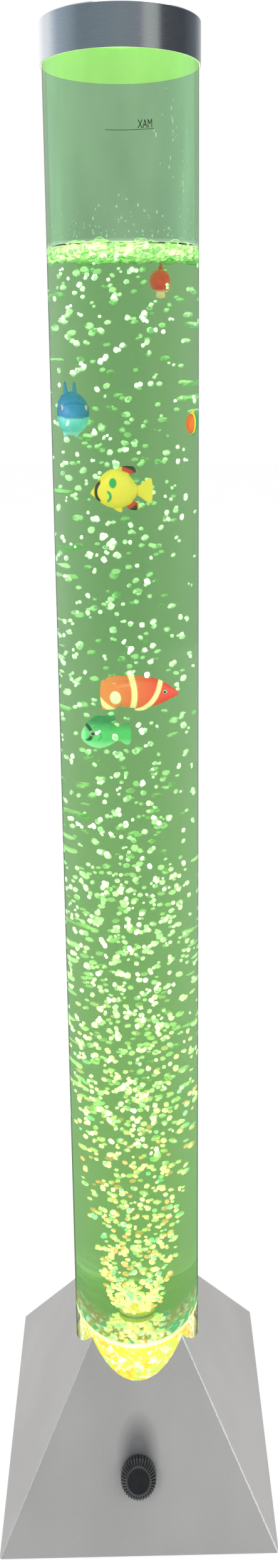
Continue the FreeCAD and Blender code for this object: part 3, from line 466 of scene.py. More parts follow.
def finish_tube():
    """Clear acrylic: fogged green above the water, one clear body with the water where that
    stands behind it, and a painted yellow glow at its foot in place of the lamps' light.
    """
    finish = Finish("clear_acrylic_tube")
    height = finish.height()
    reach = finish.reach()
    inner = finish.math("LESS_THAN", reach, TUBE_RADIUS - WALL / 2)
    outer = finish.math("GREATER_THAN", reach, TUBE_RADIUS - WALL / 2)
    turn = finish.node("LayerWeight", Blend=0.12).outputs["Facing"]

    # Fog on the dry wall, thicker towards its sides, and a painted dark line where it turns away.
    above = finish.span(height, 0, 1, WATER_TOP - 1 * MM, WATER_TOP + 2 * MM)
    clouds = finish.noise(38, (1, 1, 0.35), detail=5)
    fog = finish.blend(finish.span(clouds, 0, 1), (0.47, 0.62, 0.475), (0.52, 0.68, 0.515))
    fogged = finish.blend(finish.times(above, outer), (0.985, 0.992, 0.98), fog)
    line = finish.times(finish.span(turn, 0, 1, 0.31, 0.42), outer)
    clear = finish.node("BsdfTransparent", finish.blend(line, fogged, (0.30, 0.38, 0.30)))

    # Painted glow on the inside of the wall in place of the lamps' light from below: strongest
    # under the clear floor, fading upwards, with painted sparks, glowing rims, a faint haze,
    # and painted glowing streaks on the dry sides.
    sparks = finish.noise(230, (1, 1, 1.3), detail=2)
    tint = finish.noise(110, detail=1)
    warm = finish.blend(finish.span(tint, 0, 1, 0.55, 0.58), (1.0, 0.86, 0.12), (1.0, 0.30, 0.10))
    glow = finish.blend(finish.span(tint, 1, 0, 0.41, 0.45), warm, (0.05, 0.95, 0.45))
    glow = finish.blend(finish.span(sparks, 0, 1, 0.57, 0.61), glow, (1.0, 1.0, 0.9))
    bright = finish.span(sparks, 0.20, 0.70, 0.48, 0.62)
    fading = finish.span(height, 1, 0, FLOOR_TOP - 4 * MM, FLOOR_TOP + 26 * MM)
    low = finish.times(bright, fading)
    glow_haze = finish.span(height, 0.085, 0, FLOOR_TOP + 120 * MM, FLOOR_TOP + 560 * MM)
    upper_rim = finish.band(height, FLOOR_TOP - 1.6 * MM, FLOOR_TOP + 0.6 * MM)
    lower_rim = finish.band(height, FLOOR_TOP - 6.2 * MM, FLOOR_TOP - 4.4 * MM)
    rims = finish.plus(upper_rim, lower_rim)
    strength = finish.plus(finish.plus(low, glow_haze), finish.times(rims, 0.5))
    streaks = finish.span(finish.noise(55, (1, 1, 0.12), detail=4), 0.35, 1.0)
    mist_glow = finish.times(finish.span(turn, 0, 0.13, 0.03, 0.17), streaks)
    strength = finish.plus(strength, finish.times(above, mist_glow))
    hue = finish.blend(rims, glow, (0.60, 1.0, 0.10))
    over_sparks = finish.span(height, 0, 1, FLOOR_TOP + 20 * MM, FLOOR_TOP + 28 * MM)
    hue = finish.blend(over_sparks, hue, (0.60, 1.0, 0.04))
    hue = finish.blend(above, hue, (0.62, 1.0, 0.80))
    lit = finish.node("AddShader", clear, finish.light(hue, finish.times(strength, inner)))

    finish.rough(finish.noise(300), 0.02, 0.07)
    finish.colour(finish.blend(clouds, (0.5, 0.65, 0.5), (0.6, 0.75, 0.6)))
    finish.set(IOR=1.49)
    film = finish.times(finish.times(above, finish.span(clouds, 0.0, 0.03)), outer)
    sides = finish.times(finish.span(turn, 0, 0.22, 0.10, 0.32), outer)
    thin = finish.mix(finish.plus(sides, film), lit, finish.shader)

    # Where water stands behind the wall, only the outer face bends light; painted shade darkens it
    # towards its edges, with a painted dark line where it turns away.
    edge_darkening = finish.span(turn, 0, 1, 0.06, 0.28)
    edge_darkening = finish.blend(edge_darkening, (1.0, 1.0, 1.0), (0.76, 0.84, 0.78))
    edge = finish.blend(finish.span(turn, 0, 1, 0.33, 0.42), edge_darkening, (0.25, 0.33, 0.25))
    bend = finish.node("BsdfRefraction", Color=edge, IOR=WATER_IOR, Roughness=0.0)
    shine = finish.node("BsdfGlossy", Roughness=0.03)
    water_side = finish.mix(finish.span(turn, 0.02, 0.10, 0.1, 0.4), bend, shine)
    shadow = finish.node("LightPath").outputs["Is Shadow Ray"]
    bending = finish.mix(shadow, water_side, finish.node("BsdfTransparent"))
    wet = finish.band(height, FLOOR_TOP, WATER_TOP - 1.5 * MM, 0.0001)
    finish.surface(finish.mix(finish.times(wet, outer), thin, bending))
    dress(finish.material, "tube")


def finish_floor():
    """The clear disc under the water. Seen through the water its top mirrors the column above,
    as glass does at so flat an angle, and its rim and underside carry a painted glow in place
    of the lamps' light.
    """
    finish = Finish("lit_clear_floor")
    cloud = finish.noise(50)
    top = finish.facing((0, 0, 1), 0.4, 0.6)
    finish.colour(finish.blend(cloud, (0.60, 0.72, 0.55), (0.70, 0.82, 0.62)))
    finish.rough(cloud, 0.02, 0.08)
    warm = finish.blend(cloud, (0.75, 1.0, 0.15), (1.0, 0.95, 0.25))
    glow = finish.blend(top, warm, (0.05, 0.09, 0.03))
    finish.set(Metallic=top, Emission_Color=glow, Emission_Strength=0.8)
    dress(finish.material, "tube_floor")


# Moulded finishes of the plain pieces: the dark and the light shade, the least and the most
# roughness, and the nodes that wear each.
PLAIN = {
    "black_floor_paint": ((0.02, 0.02, 0.022), (0.035, 0.035, 0.037), 0.38, 0.55, "base_plate"),
    "white_nylon": (
        (0.72, 0.72, 0.68), (0.82, 0.82, 0.78), 0.38, 0.55,
        "tube_cradle", "board_spacers", "driver_posts",
    ),
    "corner_block_plastic": ((0.03,) * 3, (0.05,) * 3, 0.38, 0.55, "corner_blocks"),
    "silicone_seal": ((0.6, 0.62, 0.4), (0.72, 0.74, 0.5), 0.4, 0.6, "nozzle_seal"),
    "board_solder_mask": ((0.42, 0.36, 0.06), (0.60, 0.52, 0.12), 0.3, 0.4, "led_board"),
    "pump_case_plastic": ((0.02, 0.022, 0.025), (0.035, 0.04, 0.045), 0.38, 0.55, "pump_case"),
    "pump_lid_plastic": ((0.03, 0.035, 0.04), (0.05, 0.055, 0.065), 0.38, 0.55, "pump_lid"),
    "valve_plastic": ((0.12, 0.3, 0.45), (0.18, 0.4, 0.58), 0.2, 0.3, "check_valve"),
    "silicone_hose": (
        (0.6, 0.64, 0.6), (0.75, 0.78, 0.75), 0.25, 0.4, "hose_lower", "hose_upper",
    ),
    "lead_sleeve": (
        (0.015, 0.015, 0.018), (0.03, 0.03, 0.035), 0.45, 0.6, "dimmer_lead", "pump_lead",
    ),
    "red_lead_sleeve": ((0.3, 0.03, 0.02), (0.4, 0.05, 0.03), 0.45, 0.6, "led_lead"),
    "driver_board_mask": ((0.01, 0.09, 0.03), (0.02, 0.14, 0.05), 0.25, 0.4, "driver_board"),
    "component_plastic": ((0.02, 0.03, 0.06), (0.05, 0.07, 0.12), 0.3, 0.5, "driver_parts"),
    "black_gland_nylon": ((0.015,) * 3, (0.03,) * 3, 0.38, 0.55, "cable_gland", "gland_locknut"),
}

# Brushed metals: the dark and the light shade, how the lines are stretched, and the nodes.
METALS = {
    "zinc_screws": (
        (0.5, 0.5, 0.47), (0.66, 0.66, 0.62), (1, 1, 0.1), "plate_screws", "cradle_screws",
    ),
    "dimmer_steel": (
        (0.45, 0.44, 0.4), (0.6, 0.58, 0.54), (1, 0.1, 1), "dimmer", "dimmer_shaft",
    ),
    "dimmer_brass": ((0.5, 0.36, 0.14), (0.66, 0.5, 0.22), (1, 0.1, 1), "dimmer_nut"),
}


def finish_nodes():
    """Every carried-over node."""
    paint_base()
    finish_cap()
    finish_tube()
    finish_floor()
    for name, (dark, light, low, high, *nodes) in PLAIN.items():
        dress(moulded(name, dark, light, low, high), *nodes)
    for name, (dark, light, stretch, *nodes) in METALS.items():
        dress(brushed(name, dark, light, stretch), *nodes)
    rubber = moulded("black_rubber", (0.012,) * 3, (0.03,) * 3, 0.6, 0.8, 240)
    dress(rubber, "rubber_feet", "tube_gasket", "pump_mounts")
    # The nozzle carries a painted warm glow in place of the lamps' light on it.
    nozzle = moulded(
        "lit_nozzle_plastic",
        (0.70, 0.62, 0.12),
        (0.95, 0.85, 0.25),
        0.3,
        0.45,
        Emission_Color=(1.0, 0.72, 0.12, 1),
        Emission_Strength=0.55,
    )
    dress(nozzle, "air_nozzle", "nozzle_nut")
    lenses = moulded(
        "lit_lamp_lenses",
        (0.95, 0.9, 0.3),
        (1.0, 0.97, 0.45),
        0.15,
        0.25,
        Emission_Color=(1.0, 0.88, 0.26, 1),
        Emission_Strength=1.2,
    )
    dress(lenses, "leds")
    knob = moulded(
        "dark_knob_plastic",
        (0.02, 0.021, 0.024),
        (0.034, 0.036, 0.042),
        0.16,
        0.26,
        Specular_IOR_Level=0.9,
    )
    dress(knob, "knob")
    disc = moulded(
        "knob_cap_gloss",
        (0.010, 0.010, 0.011),
        (0.018, 0.018, 0.019),
        0.2,
        0.34,
        Specular_IOR_Level=0.3,
    )
    dress(disc, "knob_cap")


# ---------------------------------------------------------------- water


def water_material():
    """Tinted water: its top bends light, its side meets the tube's wall with no gap, and inside
    it takes out red and blue and carries a faint painted glow in place of the lamps' light.
    """
    finish = Finish("tinted_water")
    ripple = finish.noise(120, (1, 1, 0.3))
    finish.colour(finish.blend(ripple, (0.97, 1.0, 0.97), (1.0, 1.0, 1.0)))
    finish.rough(ripple, 0.0, 0.015)
    finish.set(IOR=WATER_IOR, Transmission_Weight=1.0)
    shadow = finish.node("LightPath").outputs["Is Shadow Ray"]
    side = finish.span(finish.height(), 1, 0, WATER_TOP - 1.9 * MM, WATER_TOP - 1.8 * MM)
    clear = finish.node("BsdfTransparent")
    finish.surface(finish.mix(finish.most(shadow, side), finish.shader, clear))
    dim = finish.node("VolumeAbsorption", Color=(0.12, 0.42, 0.02), Density=25.0)
    # A painted glow through the water.
    glow = finish.light((0.56, 1.0, 0.5), 2.4)
    finish.feed(finish.output.inputs["Volume"], finish.node("AddShader", dim, glow))
    return finish.material


def make_water():
    """The column of water, whose top climbs the wall a little and is stirred into low waves."""
    deselect()
    foot = FLOOR_TOP + 0.1 * MM
    bpy.ops.mesh.primitive_cylinder_add(
        vertices=128,
        radius=WATER_RADIUS,
        depth=WATER_TOP - foot,
        location=(0, 0, (WATER_TOP + foot) / 2),
    )
    water = named("water")
    apply_place(water)
    edit_where(water, "polygons", lambda face: face.normal.z > 0.9)
    for inward, drop in ((0.6, 0.8), (1.4, 0.6), (8, -0.5), (9, 0.6), (9, -0.6)):
        bpy.ops.mesh.inset(thickness=inward * MM)
        bpy.ops.transform.translate(value=(0, 0, -drop * MM))
    leave_edit()
    smooth(water, 60)
    fill(water, water_material())


# ---------------------------------------------------------------- bubbles, foam and drops


def chip(name, seed):
    """A bubble as the stirred water shows it: a lopsided chip of a few dozen facets."""
    deselect()
    bpy.ops.mesh.primitive_cube_add(size=1.2)
    piece = named(name)
    edit()
    bpy.ops.mesh.subdivide(number_cuts=1, smoothness=0.8)
    bpy.ops.transform.vertex_random(offset=0.16, seed=seed)
    leave_edit()
    return piece


def dome(name, seed):
    """A foam bubble: a thin round skin, pressed a little out of true by its neighbours."""
    deselect()
    bpy.ops.mesh.primitive_ico_sphere_add(subdivisions=2, radius=0.5)
    piece = named(name)
    edit()
    bpy.ops.transform.vertex_random(offset=0.03, seed=seed)
    leave_edit()
    bpy.ops.object.shade_smooth()
    return piece


GROUP = 60  # copies that are joined at a time, which is quicker than all at once
RISING_BUBBLES = 1480
PLUME_BUBBLES = 1150
FOAM_DOMES = 170
FOAM_CHIPS = 520
SPLASHED_DROPS = 110
LONE_DROPS = 16


def copy_of(shape, name):
    """A copy of the shape, with a mesh of its own."""
    copy = bpy.data.objects.new(name, shape.data.copy())
    bpy.context.collection.objects.link(copy)
    return copy


def scatter(name, shapes, places, chance):
    """Copies of the shapes, each with its own mesh, at (place, size, squeeze) made one piece."""
    groups = []
    for first in range(0, len(places), GROUP):
        copies = []
        for place, size, squeeze in places[first : first + GROUP]:
            copy = copy_of(chance.choice(shapes), name)
            copy.location = place
            copy.scale = (0.8 * size, 0.8 * size, size * squeeze)
            copy.rotation_euler = [chance.uniform(-reach, reach) for reach in (0.7, 0.7, 3.14)]
            copies.append(copy)
        bpy.context.view_layer.update()
        groups.append(join(name, copies))
        bpy.data.batch_remove([mesh for mesh in bpy.data.meshes if not mesh.users])
    piece = join(name, groups)
    apply_place(piece)
    return piece


def discard(shapes):
    """Removes the shapes that the copies were made from."""
    deselect()
    for shape in shapes:
        shape.select_set(True)
    bpy.ops.object.delete()


def in_disc(chance, radius, height):
    """A place at random in a level disc about the tube's axis."""
    reach = radius * math.sqrt(chance.random())
    angle = chance.uniform(0, 2 * math.pi)
    return Vector((reach * math.cos(angle), reach * math.sin(angle), height))


def plume_width(height):
    """How far from the axis bubbles wander at a height above the nozzle."""
    rise = (height - NOZZLE_TOP) / (WATER_TOP - NOZZLE_TOP)
    return min(CLEAR_OF_WALL, 14 * MM + 66 * MM * max(rise, 0) ** 0.62)


def hides_fish(place):
    """Whether a bubble here would stand in front of a fish."""
    for node in FISH:
        low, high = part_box(node)
        if place.y < high.y and low.x - MM < place.x < high.x + MM and low.z < place.z < high.z:
            return True
    return False


def make_bubbles():
    """Rising bubbles: a dense plume over the nozzle that spreads until it fills the tube."""
    chance = random.Random(11)
    shapes = [chip(f"chip_{seed}", seed) for seed in range(7)]
    rising, plume = [], []
    while len(rising) < RISING_BUBBLES:
        rise = chance.random() ** 0.95
        height = NOZZLE_TOP + 150 * MM + rise * (WATER_TOP - NOZZLE_TOP - 158 * MM)
        place = in_disc(chance, plume_width(height), height)
        if hides_fish(place) and chance.random() < 0.8:
            continue
        if place.x > 18 * MM and chance.random() < 0.45:
            continue
        size = chance.uniform(1.1, 2.6) * MM
        rising.append((place, size, chance.uniform(0.75, 1.15)))
        if chance.random() < 0.35:
            beside = Vector([chance.uniform(-2.4, 2.4) * MM for _ in range(3)])
            rising.append((place + beside, 0.8 * size, chance.uniform(0.75, 1.15)))
    while len(plume) < PLUME_BUBBLES:
        height = NOZZLE_TOP + 1 * MM + 380 * MM * chance.random() ** 1.5
        place = in_disc(chance, plume_width(height) * 0.85, height)
        plume.append((place, chance.uniform(1.0, 2.4) * MM, chance.uniform(0.8, 1.2)))
    bubbles = scatter("rising_bubbles", shapes, rising, chance)
    fill(bubbles, bubble_material())
    jet = scatter("bubble_plume", shapes, plume, chance)
    fill(jet, plume_material())
    discard(shapes)


def bubble_material():
    """Chips with a painted glow: painted light nearly white on the facets that face one fixed
    direction, painted shade of green on the others.
    """
    finish = Finish("lit_bubbles")
    height = finish.height()
    low = finish.span(height, 1, 0, NOZZLE_TOP + 120 * MM, NOZZLE_TOP + 480 * MM)
    lit = finish.facing((-0.35, -0.62, 0.70), -0.15, 0.35)
    cloud = finish.span(finish.noise(190, detail=1), 0, 1, 0.36, 0.5)
    bright = finish.blend(low, (0.80, 1.0, 0.72), (0.98, 1.0, 0.66))
    dim = finish.blend(low, (0.24, 0.48, 0.22), (0.42, 0.62, 0.22))
    shade = finish.blend(finish.times(lit, cloud), dim, bright)
    finish.lit(shade, 1.65)
    finish.rough(cloud, 0.1, 0.3)
    return finish.material


def plume_material():
    """Bubbles over the nozzle as yellow-white sparks with a painted glow, with gold, orange and
    teal ones among them, and painted shade on the facets that face away from one fixed direction.
    """
    finish = Finish("lit_plume")
    tint = finish.noise(130, detail=0)
    lit = finish.facing((-0.2, -0.62, -0.45), -0.35, 0.3)
    warm = finish.blend(finish.span(tint, 0, 1, 0.61, 0.65), (1.0, 0.84, 0.48), (1.0, 0.36, 0.18))
    mixed = finish.blend(finish.span(tint, 1, 0, 0.33, 0.37), warm, (0.28, 0.80, 0.50))
    near = finish.span(finish.height(), 1, 0, NOZZLE_TOP + 120 * MM, NOZZLE_TOP + 300 * MM)
    mixed = finish.blend(near, (0.62, 0.72, 0.50), mixed)
    dim = finish.blend(0.65, mixed, (0.18, 0.30, 0.08))
    shade = finish.blend(lit, dim, mixed)
    finish.lit(shade, 2.3)
    finish.rough(tint, 0.1, 0.3)
    return finish.material


def make_foam():
    """Froth on the water: thin domes above it, a mat of small bubbles under it."""
    chance = random.Random(5)
    skins = [dome(f"dome_{seed}", seed) for seed in range(4)]
    chips = [chip(f"froth_{seed}", seed + 20) for seed in range(5)]
    domes, mat = [], []
    for _ in range(FOAM_DOMES):
        size = chance.uniform(3, 11) * MM
        place = in_disc(chance, WATER_RADIUS - size / 2, WATER_TOP)
        place.z += chance.uniform(-2.5, 0.3) * MM
        domes.append((place, size, chance.uniform(0.45, 0.7)))
    for _ in range(FOAM_CHIPS):
        place = in_disc(chance, CLEAR_OF_WALL, WATER_TOP)
        place.z -= (2.6 + 6.5 * chance.random() ** 1.5) * MM
        mat.append((place, chance.uniform(1.8, 4.4) * MM, chance.uniform(0.35, 0.7)))
    foam = scatter("foam_domes", skins, domes, chance)
    smooth(foam, 80)
    fill(foam, foam_material())
    froth = scatter("foam_mat", chips, mat, chance)
    fill(froth, froth_material())
    discard(skins + chips)


def foam_material():
    """A thin skin with a painted glow: clear in the middle, a painted highlight as a bright pale
    green rim.
    """
    finish = Finish("foam_skin")
    cloud = finish.noise(240)
    finish.colour(finish.blend(cloud, (0.50, 0.95, 0.30), (0.80, 1.0, 0.55)))
    finish.rough(cloud, 0.05, 0.2)
    finish.set(Emission_Color=(0.56, 0.95, 0.36, 1), Emission_Strength=0.95)
    clear = finish.node("BsdfTransparent")
    turn = finish.node("LayerWeight", Blend=0.5).outputs["Facing"]
    finish.surface(finish.mix(finish.span(turn, 0.06, 0.95, 0.45, 0.92), clear, finish.shader))
    return finish.material


def froth_material():
    """Crowded bubbles with a painted glow: painted light on the facets that face one fixed
    direction, painted shade of darker green on the others.
    """
    finish = Finish("lit_froth")
    lit = finish.facing((-0.25, -0.66, 0.70), -0.1, 0.4)
    cloud = finish.span(finish.noise(260, detail=1), 0, 1, 0.36, 0.5)
    shade = finish.blend(finish.times(lit, cloud), (0.20, 0.46, 0.15), (0.70, 1.0, 0.42))
    finish.lit(shade, 1.2)
    finish.rough(cloud, 0.1, 0.3)
    return finish.material


def on_wall(angle, height, radius):
    """A place on the inside of the tube."""
    return Vector((radius * math.sin(angle), -radius * math.cos(angle), height))


def make_drops():
    """Splashed drops on the inner wall: low bumps over the foam, and runs down the right side."""
    chance = random.Random(3)
    deselect()
    bpy.ops.mesh.primitive_uv_sphere_add(segments=10, ring_count=6, radius=0.5)
    drop = named("drop")
    edit()
    bpy.ops.transform.vertex_random(offset=0.07, seed=1)
    leave_edit()

    # Each is its angle round the tube from the front, its height, its width and how tall it is.
    places = []
    for _ in range(SPLASHED_DROPS):
        bearing = chance.gauss(0, 0.9)
        rise = WATER_TOP + (3 + 24 * chance.random() ** 2.2) * MM
        places.append((bearing, rise, chance.uniform(0.4, 1.3), chance.uniform(0.7, 2.0)))
    for bearing, foot, head in ((0.74, 60, 84), (0.70, 44, 50), (0.98, 26, 58), (0.46, 62, 66)):
        while foot < head:
            size = chance.uniform(0.5, 1.3)
            swing = chance.uniform(-0.025, 0.025)
            places.append((bearing + swing, WATER_TOP + foot * MM, size, chance.uniform(1.2, 3.4)))
            foot += chance.uniform(1.5, 7)
    for _ in range(LONE_DROPS):
        rise = WATER_TOP + chance.uniform(34, 92) * MM
        places.append((chance.uniform(0.35, 1.1), rise, chance.uniform(0.4, 1.0), 1.2))

    copies = []
    for bearing, rise, size, tall in places:
        copy = copy_of(drop, "drop")
        copy.location = on_wall(bearing, rise, WATER_RADIUS - 0.15 * MM)
        copy.rotation_euler = (0, chance.uniform(-0.2, 0.2), bearing)
        copy.scale = (size * MM, 0.35 * size * MM, size * tall * MM)
        copies.append(copy)
    bpy.context.view_layer.update()
    drops = join("wall_drops", copies)
    apply_place(drops)
    smooth(drops, 80)
    # The drops carry a painted glow and a painted highlight on the faces towards one fixed
    # direction.
    finish = Finish("clear_drops")
    cloud = finish.noise(500)
    lit = finish.facing((0.2, -0.7, 0.6), 0.2, 0.8)
    shade = finish.blend(lit, (0.30, 0.55, 0.30), (0.85, 1.0, 0.82))
    finish.lit(shade, 0.75)
    finish.rough(cloud, 0.03, 0.15)
    finish.set(Alpha=0.6)
    fill(drops, finish.material)
    discard([drop])


# ---------------------------------------------------------------- fill mark


LINE_LEFT = -11.5 * MM
LINE_RIGHT = 22 * MM
WORD_PLACE = 16 * MM


def make_mark():
    """The fill line and its word, printed on the back of the tube, so mirrored from the front."""
    ink = Finish("dark_print")
    worn = ink.noise(900, detail=4)
    ink.colour(ink.blend(worn, (0.03, 0.06, 0.03), (0.07, 0.11, 0.07)))
    ink.rough(worn, 0.4, 0.6)
    ink.bump(worn, 0.1, 0.00002)

    deselect()
    bpy.ops.mesh.primitive_circle_add(vertices=360, radius=TUBE_RADIUS + 0.05 * MM)
    line = named("fill_line")
    line.location.z = MARK_HEIGHT + 0.6 * MM
    apply_place(line)
    edit_where(
        line,
        "vertices",
        lambda point: point.co.y < 0 or not LINE_LEFT < point.co.x < LINE_RIGHT,
    )
    bpy.ops.mesh.delete(type="VERT")
    bpy.ops.mesh.select_all(action="SELECT")
    bpy.ops.mesh.extrude_region_move(TRANSFORM_OT_translate={"value": (0, 0, 0.35 * MM)})
    leave_edit()
    thicken(line, 0.06 * MM)

    angle = math.asin(WORD_PLACE / TUBE_RADIUS)
    deselect()
    bpy.ops.object.text_add(
        location=(
            WORD_PLACE,
            math.cos(angle) * (TUBE_RADIUS + 0.1 * MM),
            MARK_HEIGHT + 1.6 * MM,
        ),
        rotation=(math.pi / 2, 0, math.pi - angle),
    )
    word = named("fill_word")
    word.data.body = "MAX"
    word.data.size = 8 * MM
    word.scale.x = 0.62
    word.data.align_x = "CENTER"
    word.data.extrude = 0.04 * MM
    choose(word)
    bpy.ops.object.convert(target="MESH")
    apply_place(word)
    mark = join("fill_mark", [line, word])
    fill(mark, ink.material)


def thicken(piece, gauge):
    """Gives a sheet its thickness."""
    wall = piece.modifiers.new("gauge", "SOLIDIFY")
    wall.thickness = gauge
    apply_modifiers(piece)


# ---------------------------------------------------------------- fish


FISH = ("fish_red", "fish_blue", "fish_orange", "fish_yellow", "fish_striped", "fish_green")
PAINTS = []  # a blank for the skin, then the paints of an eye's ring and its pupil


class Fish:
    """Where a fish of the frame floats, and the pieces that make up its detailed form.

    Shapes are given in shares of the fish: along, of half its length (1 is the nose, -1 the
    tail's end), and up and across, of its body's height. Rounding off draws a form in a little,
    and fuller makes up for it.
    """

    def __init__(self, node, heading, fuller=1.06):
        low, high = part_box(node)
        self.node = node
        self.heading = math.radians(heading)
        self.fuller = fuller
        self.half = max(high.x - low.x, high.y - low.y) / 2
        self.height = (high.z - low.z) / 1.22
        self.middle = (low + high) / 2
        self.middle.z = low.z + 0.6 * self.height
        self.pieces = []

    def loft(self, stations, turn=(0, 0, 0), place=(0, 0, 0), along=None, sides=12, levels=2):
        """A closed form pulled out ring by ring: each station is how far along, its middle's
        height, and its half width and half height."""
        reach = along or self.half
        deselect()
        bpy.ops.mesh.primitive_circle_add(
            vertices=sides, radius=1, fill_type="NGON", rotation=(0, math.pi / 2, 0)
        )
        piece = named("fish_form")
        apply_place(piece)
        edit()
        first = stations[0]
        bpy.ops.transform.resize(
            value=(1, self.fuller * first[2] * self.height, self.fuller * first[3] * self.height),
            center_override=(0, 0, 0),
        )
        bpy.ops.transform.translate(value=(first[0] * reach, 0, first[1] * self.height))
        for before, after in zip(stations, stations[1:]):
            move = ((after[0] - before[0]) * reach, 0, (after[1] - before[1]) * self.height)
            bpy.ops.mesh.extrude_region_move(TRANSFORM_OT_translate={"value": move})
            bpy.ops.transform.resize(
                value=(1, after[2] / before[2], after[3] / before[3]),
                center_override=(after[0] * reach, 0, after[1] * self.height),
            )
        leave_edit()
        round_off = piece.modifiers.new("round", "SUBSURF")
        round_off.levels = levels
        round_off.render_levels = levels
        apply_modifiers(piece)
        piece.rotation_euler = turn
        piece.location = (place[0] * self.half, place[1] * self.height, place[2] * self.height)
        apply_place(piece)
        face_outwards(piece)
        self.pieces.append(piece)
        return piece

    def back_fin(self, stations, place=(0, 0, 0)):
        """A thin fin that stands up; its stations are up, forward, thickness and half length."""
        turned = [(up, -fore, thin, long) for up, fore, thin, long in stations]
        return self.loft(turned, (0, -math.pi / 2, 0), place, self.height, 8, 1)

    def belly_fin(self, stations, place=(0, 0, 0)):
        """A thin fin that hangs down; its stations are down, forward, thickness, half length."""
        return self.loft(stations, (0, math.pi / 2, 0), place, self.height, 8, 1)

    def side_fins(self, stations, place):
        """A pair of thin fins, one on each side, that lean outwards and back."""
        for side in (-1, 1):
            self.loft(
                stations,
                (0, 0, math.pi + side * 0.55),
                (place[0], side * place[1], place[2]),
                self.height,
                8,
                1,
            )

    def eyes(self, along, across, up, size):
        """A pale ring and a dark pupil on each side of the head."""
        ring = [(-0.8, 1.0), (0.25, 1.0), (0.55, 0.7)]
        pupil = [(0.1, 0.6), (0.8, 0.5)]
        for side in (-1, 1):
            for index, form in ((1, ring), (2, pupil)):
                piece = self.loft(
                    [(out, 0, share * size, share * size) for out, share in form],
                    (0, 0, side * math.pi / 2),
                    (along, side * across, up),
                    size * self.height,
                    10,
                    1,
                )
                self.paint(piece, index)

    def paint(self, piece, index):
        """Sends all faces of a form to one of the fish's material slots."""
        for paint in PAINTS:
            piece.data.materials.append(paint)
        for face in piece.data.polygons:
            face.material_index = index

    def finish(self, skin):
        """Makes the forms one fish, puts it in its place and on its body."""
        for piece in self.pieces:
            if not piece.data.materials:
                self.paint(piece, 0)
        fish = join(self.node + "_detailed", self.pieces)
        fish.rotation_euler.z = self.heading
        fish.location = self.middle
        apply_place(fish)
        smooth(fish, 50)
        fish.data.materials[0] = skin
        put_on(fish, self.node, self.node)


class Skin(Finish):
    """A fish's finish. Its places are the fish's own: along, to the nose, and up, in the same
    shares as the fish's forms.
    """

    def __init__(self, name, fish):
        super().__init__(name)
        mapping = self.node("Mapping", vector_type="TEXTURE")
        place = self.node("TexCoord").outputs["Object"]
        for name, source in (
            ("Vector", place),
            ("Location", fish.middle),
            ("Rotation", (0, 0, fish.heading)),
        ):
            self.feed(mapping.inputs[name], source)
        parts = self.node("SeparateXYZ", mapping)
        self.along = self.over(parts.outputs["X"], fish.half)
        self.up = self.over(parts.outputs["Z"], fish.height)

    def layers(self, shade, *over):
        """A shade with others painted over it, each a mask and a colour."""
        for mask, colour in over:
            shade = self.blend(mask, shade, colour)
        return shade

    def oval(self, along, up, wide, tall):
        """How far out of an oval a place is: 1 on its line."""
        return self.hypot(
            self.over(self.minus(self.along, along), wide),
            self.over(self.minus(self.up, up), tall),
        )

    def spot(self, along, up, wide, tall, soft=0.15):
        """1 in an oval on the fish's side."""
        return self.span(self.oval(along, up, wide, tall), 1, 0, 1 - soft, 1 + soft)

    def ring(self, along, up, wide, tall, width):
        """1 on the line of an oval."""
        far = self.minus(self.oval(along, up, wide, tall), 1.0)
        return self.span(self.math("ABSOLUTE", far), 1, 0, width * 0.7, width * 1.3)

    def beyond(self, value, limit, soft=0.03):
        """1 where the value is above the limit."""
        return self.span(value, 0, 1, limit - soft, limit + soft)

    def short_of(self, value, limit, soft=0.03):
        """1 where the value is below the limit."""
        return self.span(value, 1, 0, limit - soft, limit + soft)

    def gloss(self, shade, glow):
        """Glossy plastic in the given colour, with a painted glow in the same colour."""
        grain = self.noise(700)
        self.lit(shade, glow)
        self.rough(grain, 0.18, 0.3)
        self.bump(grain, 0.12, 0.00008)


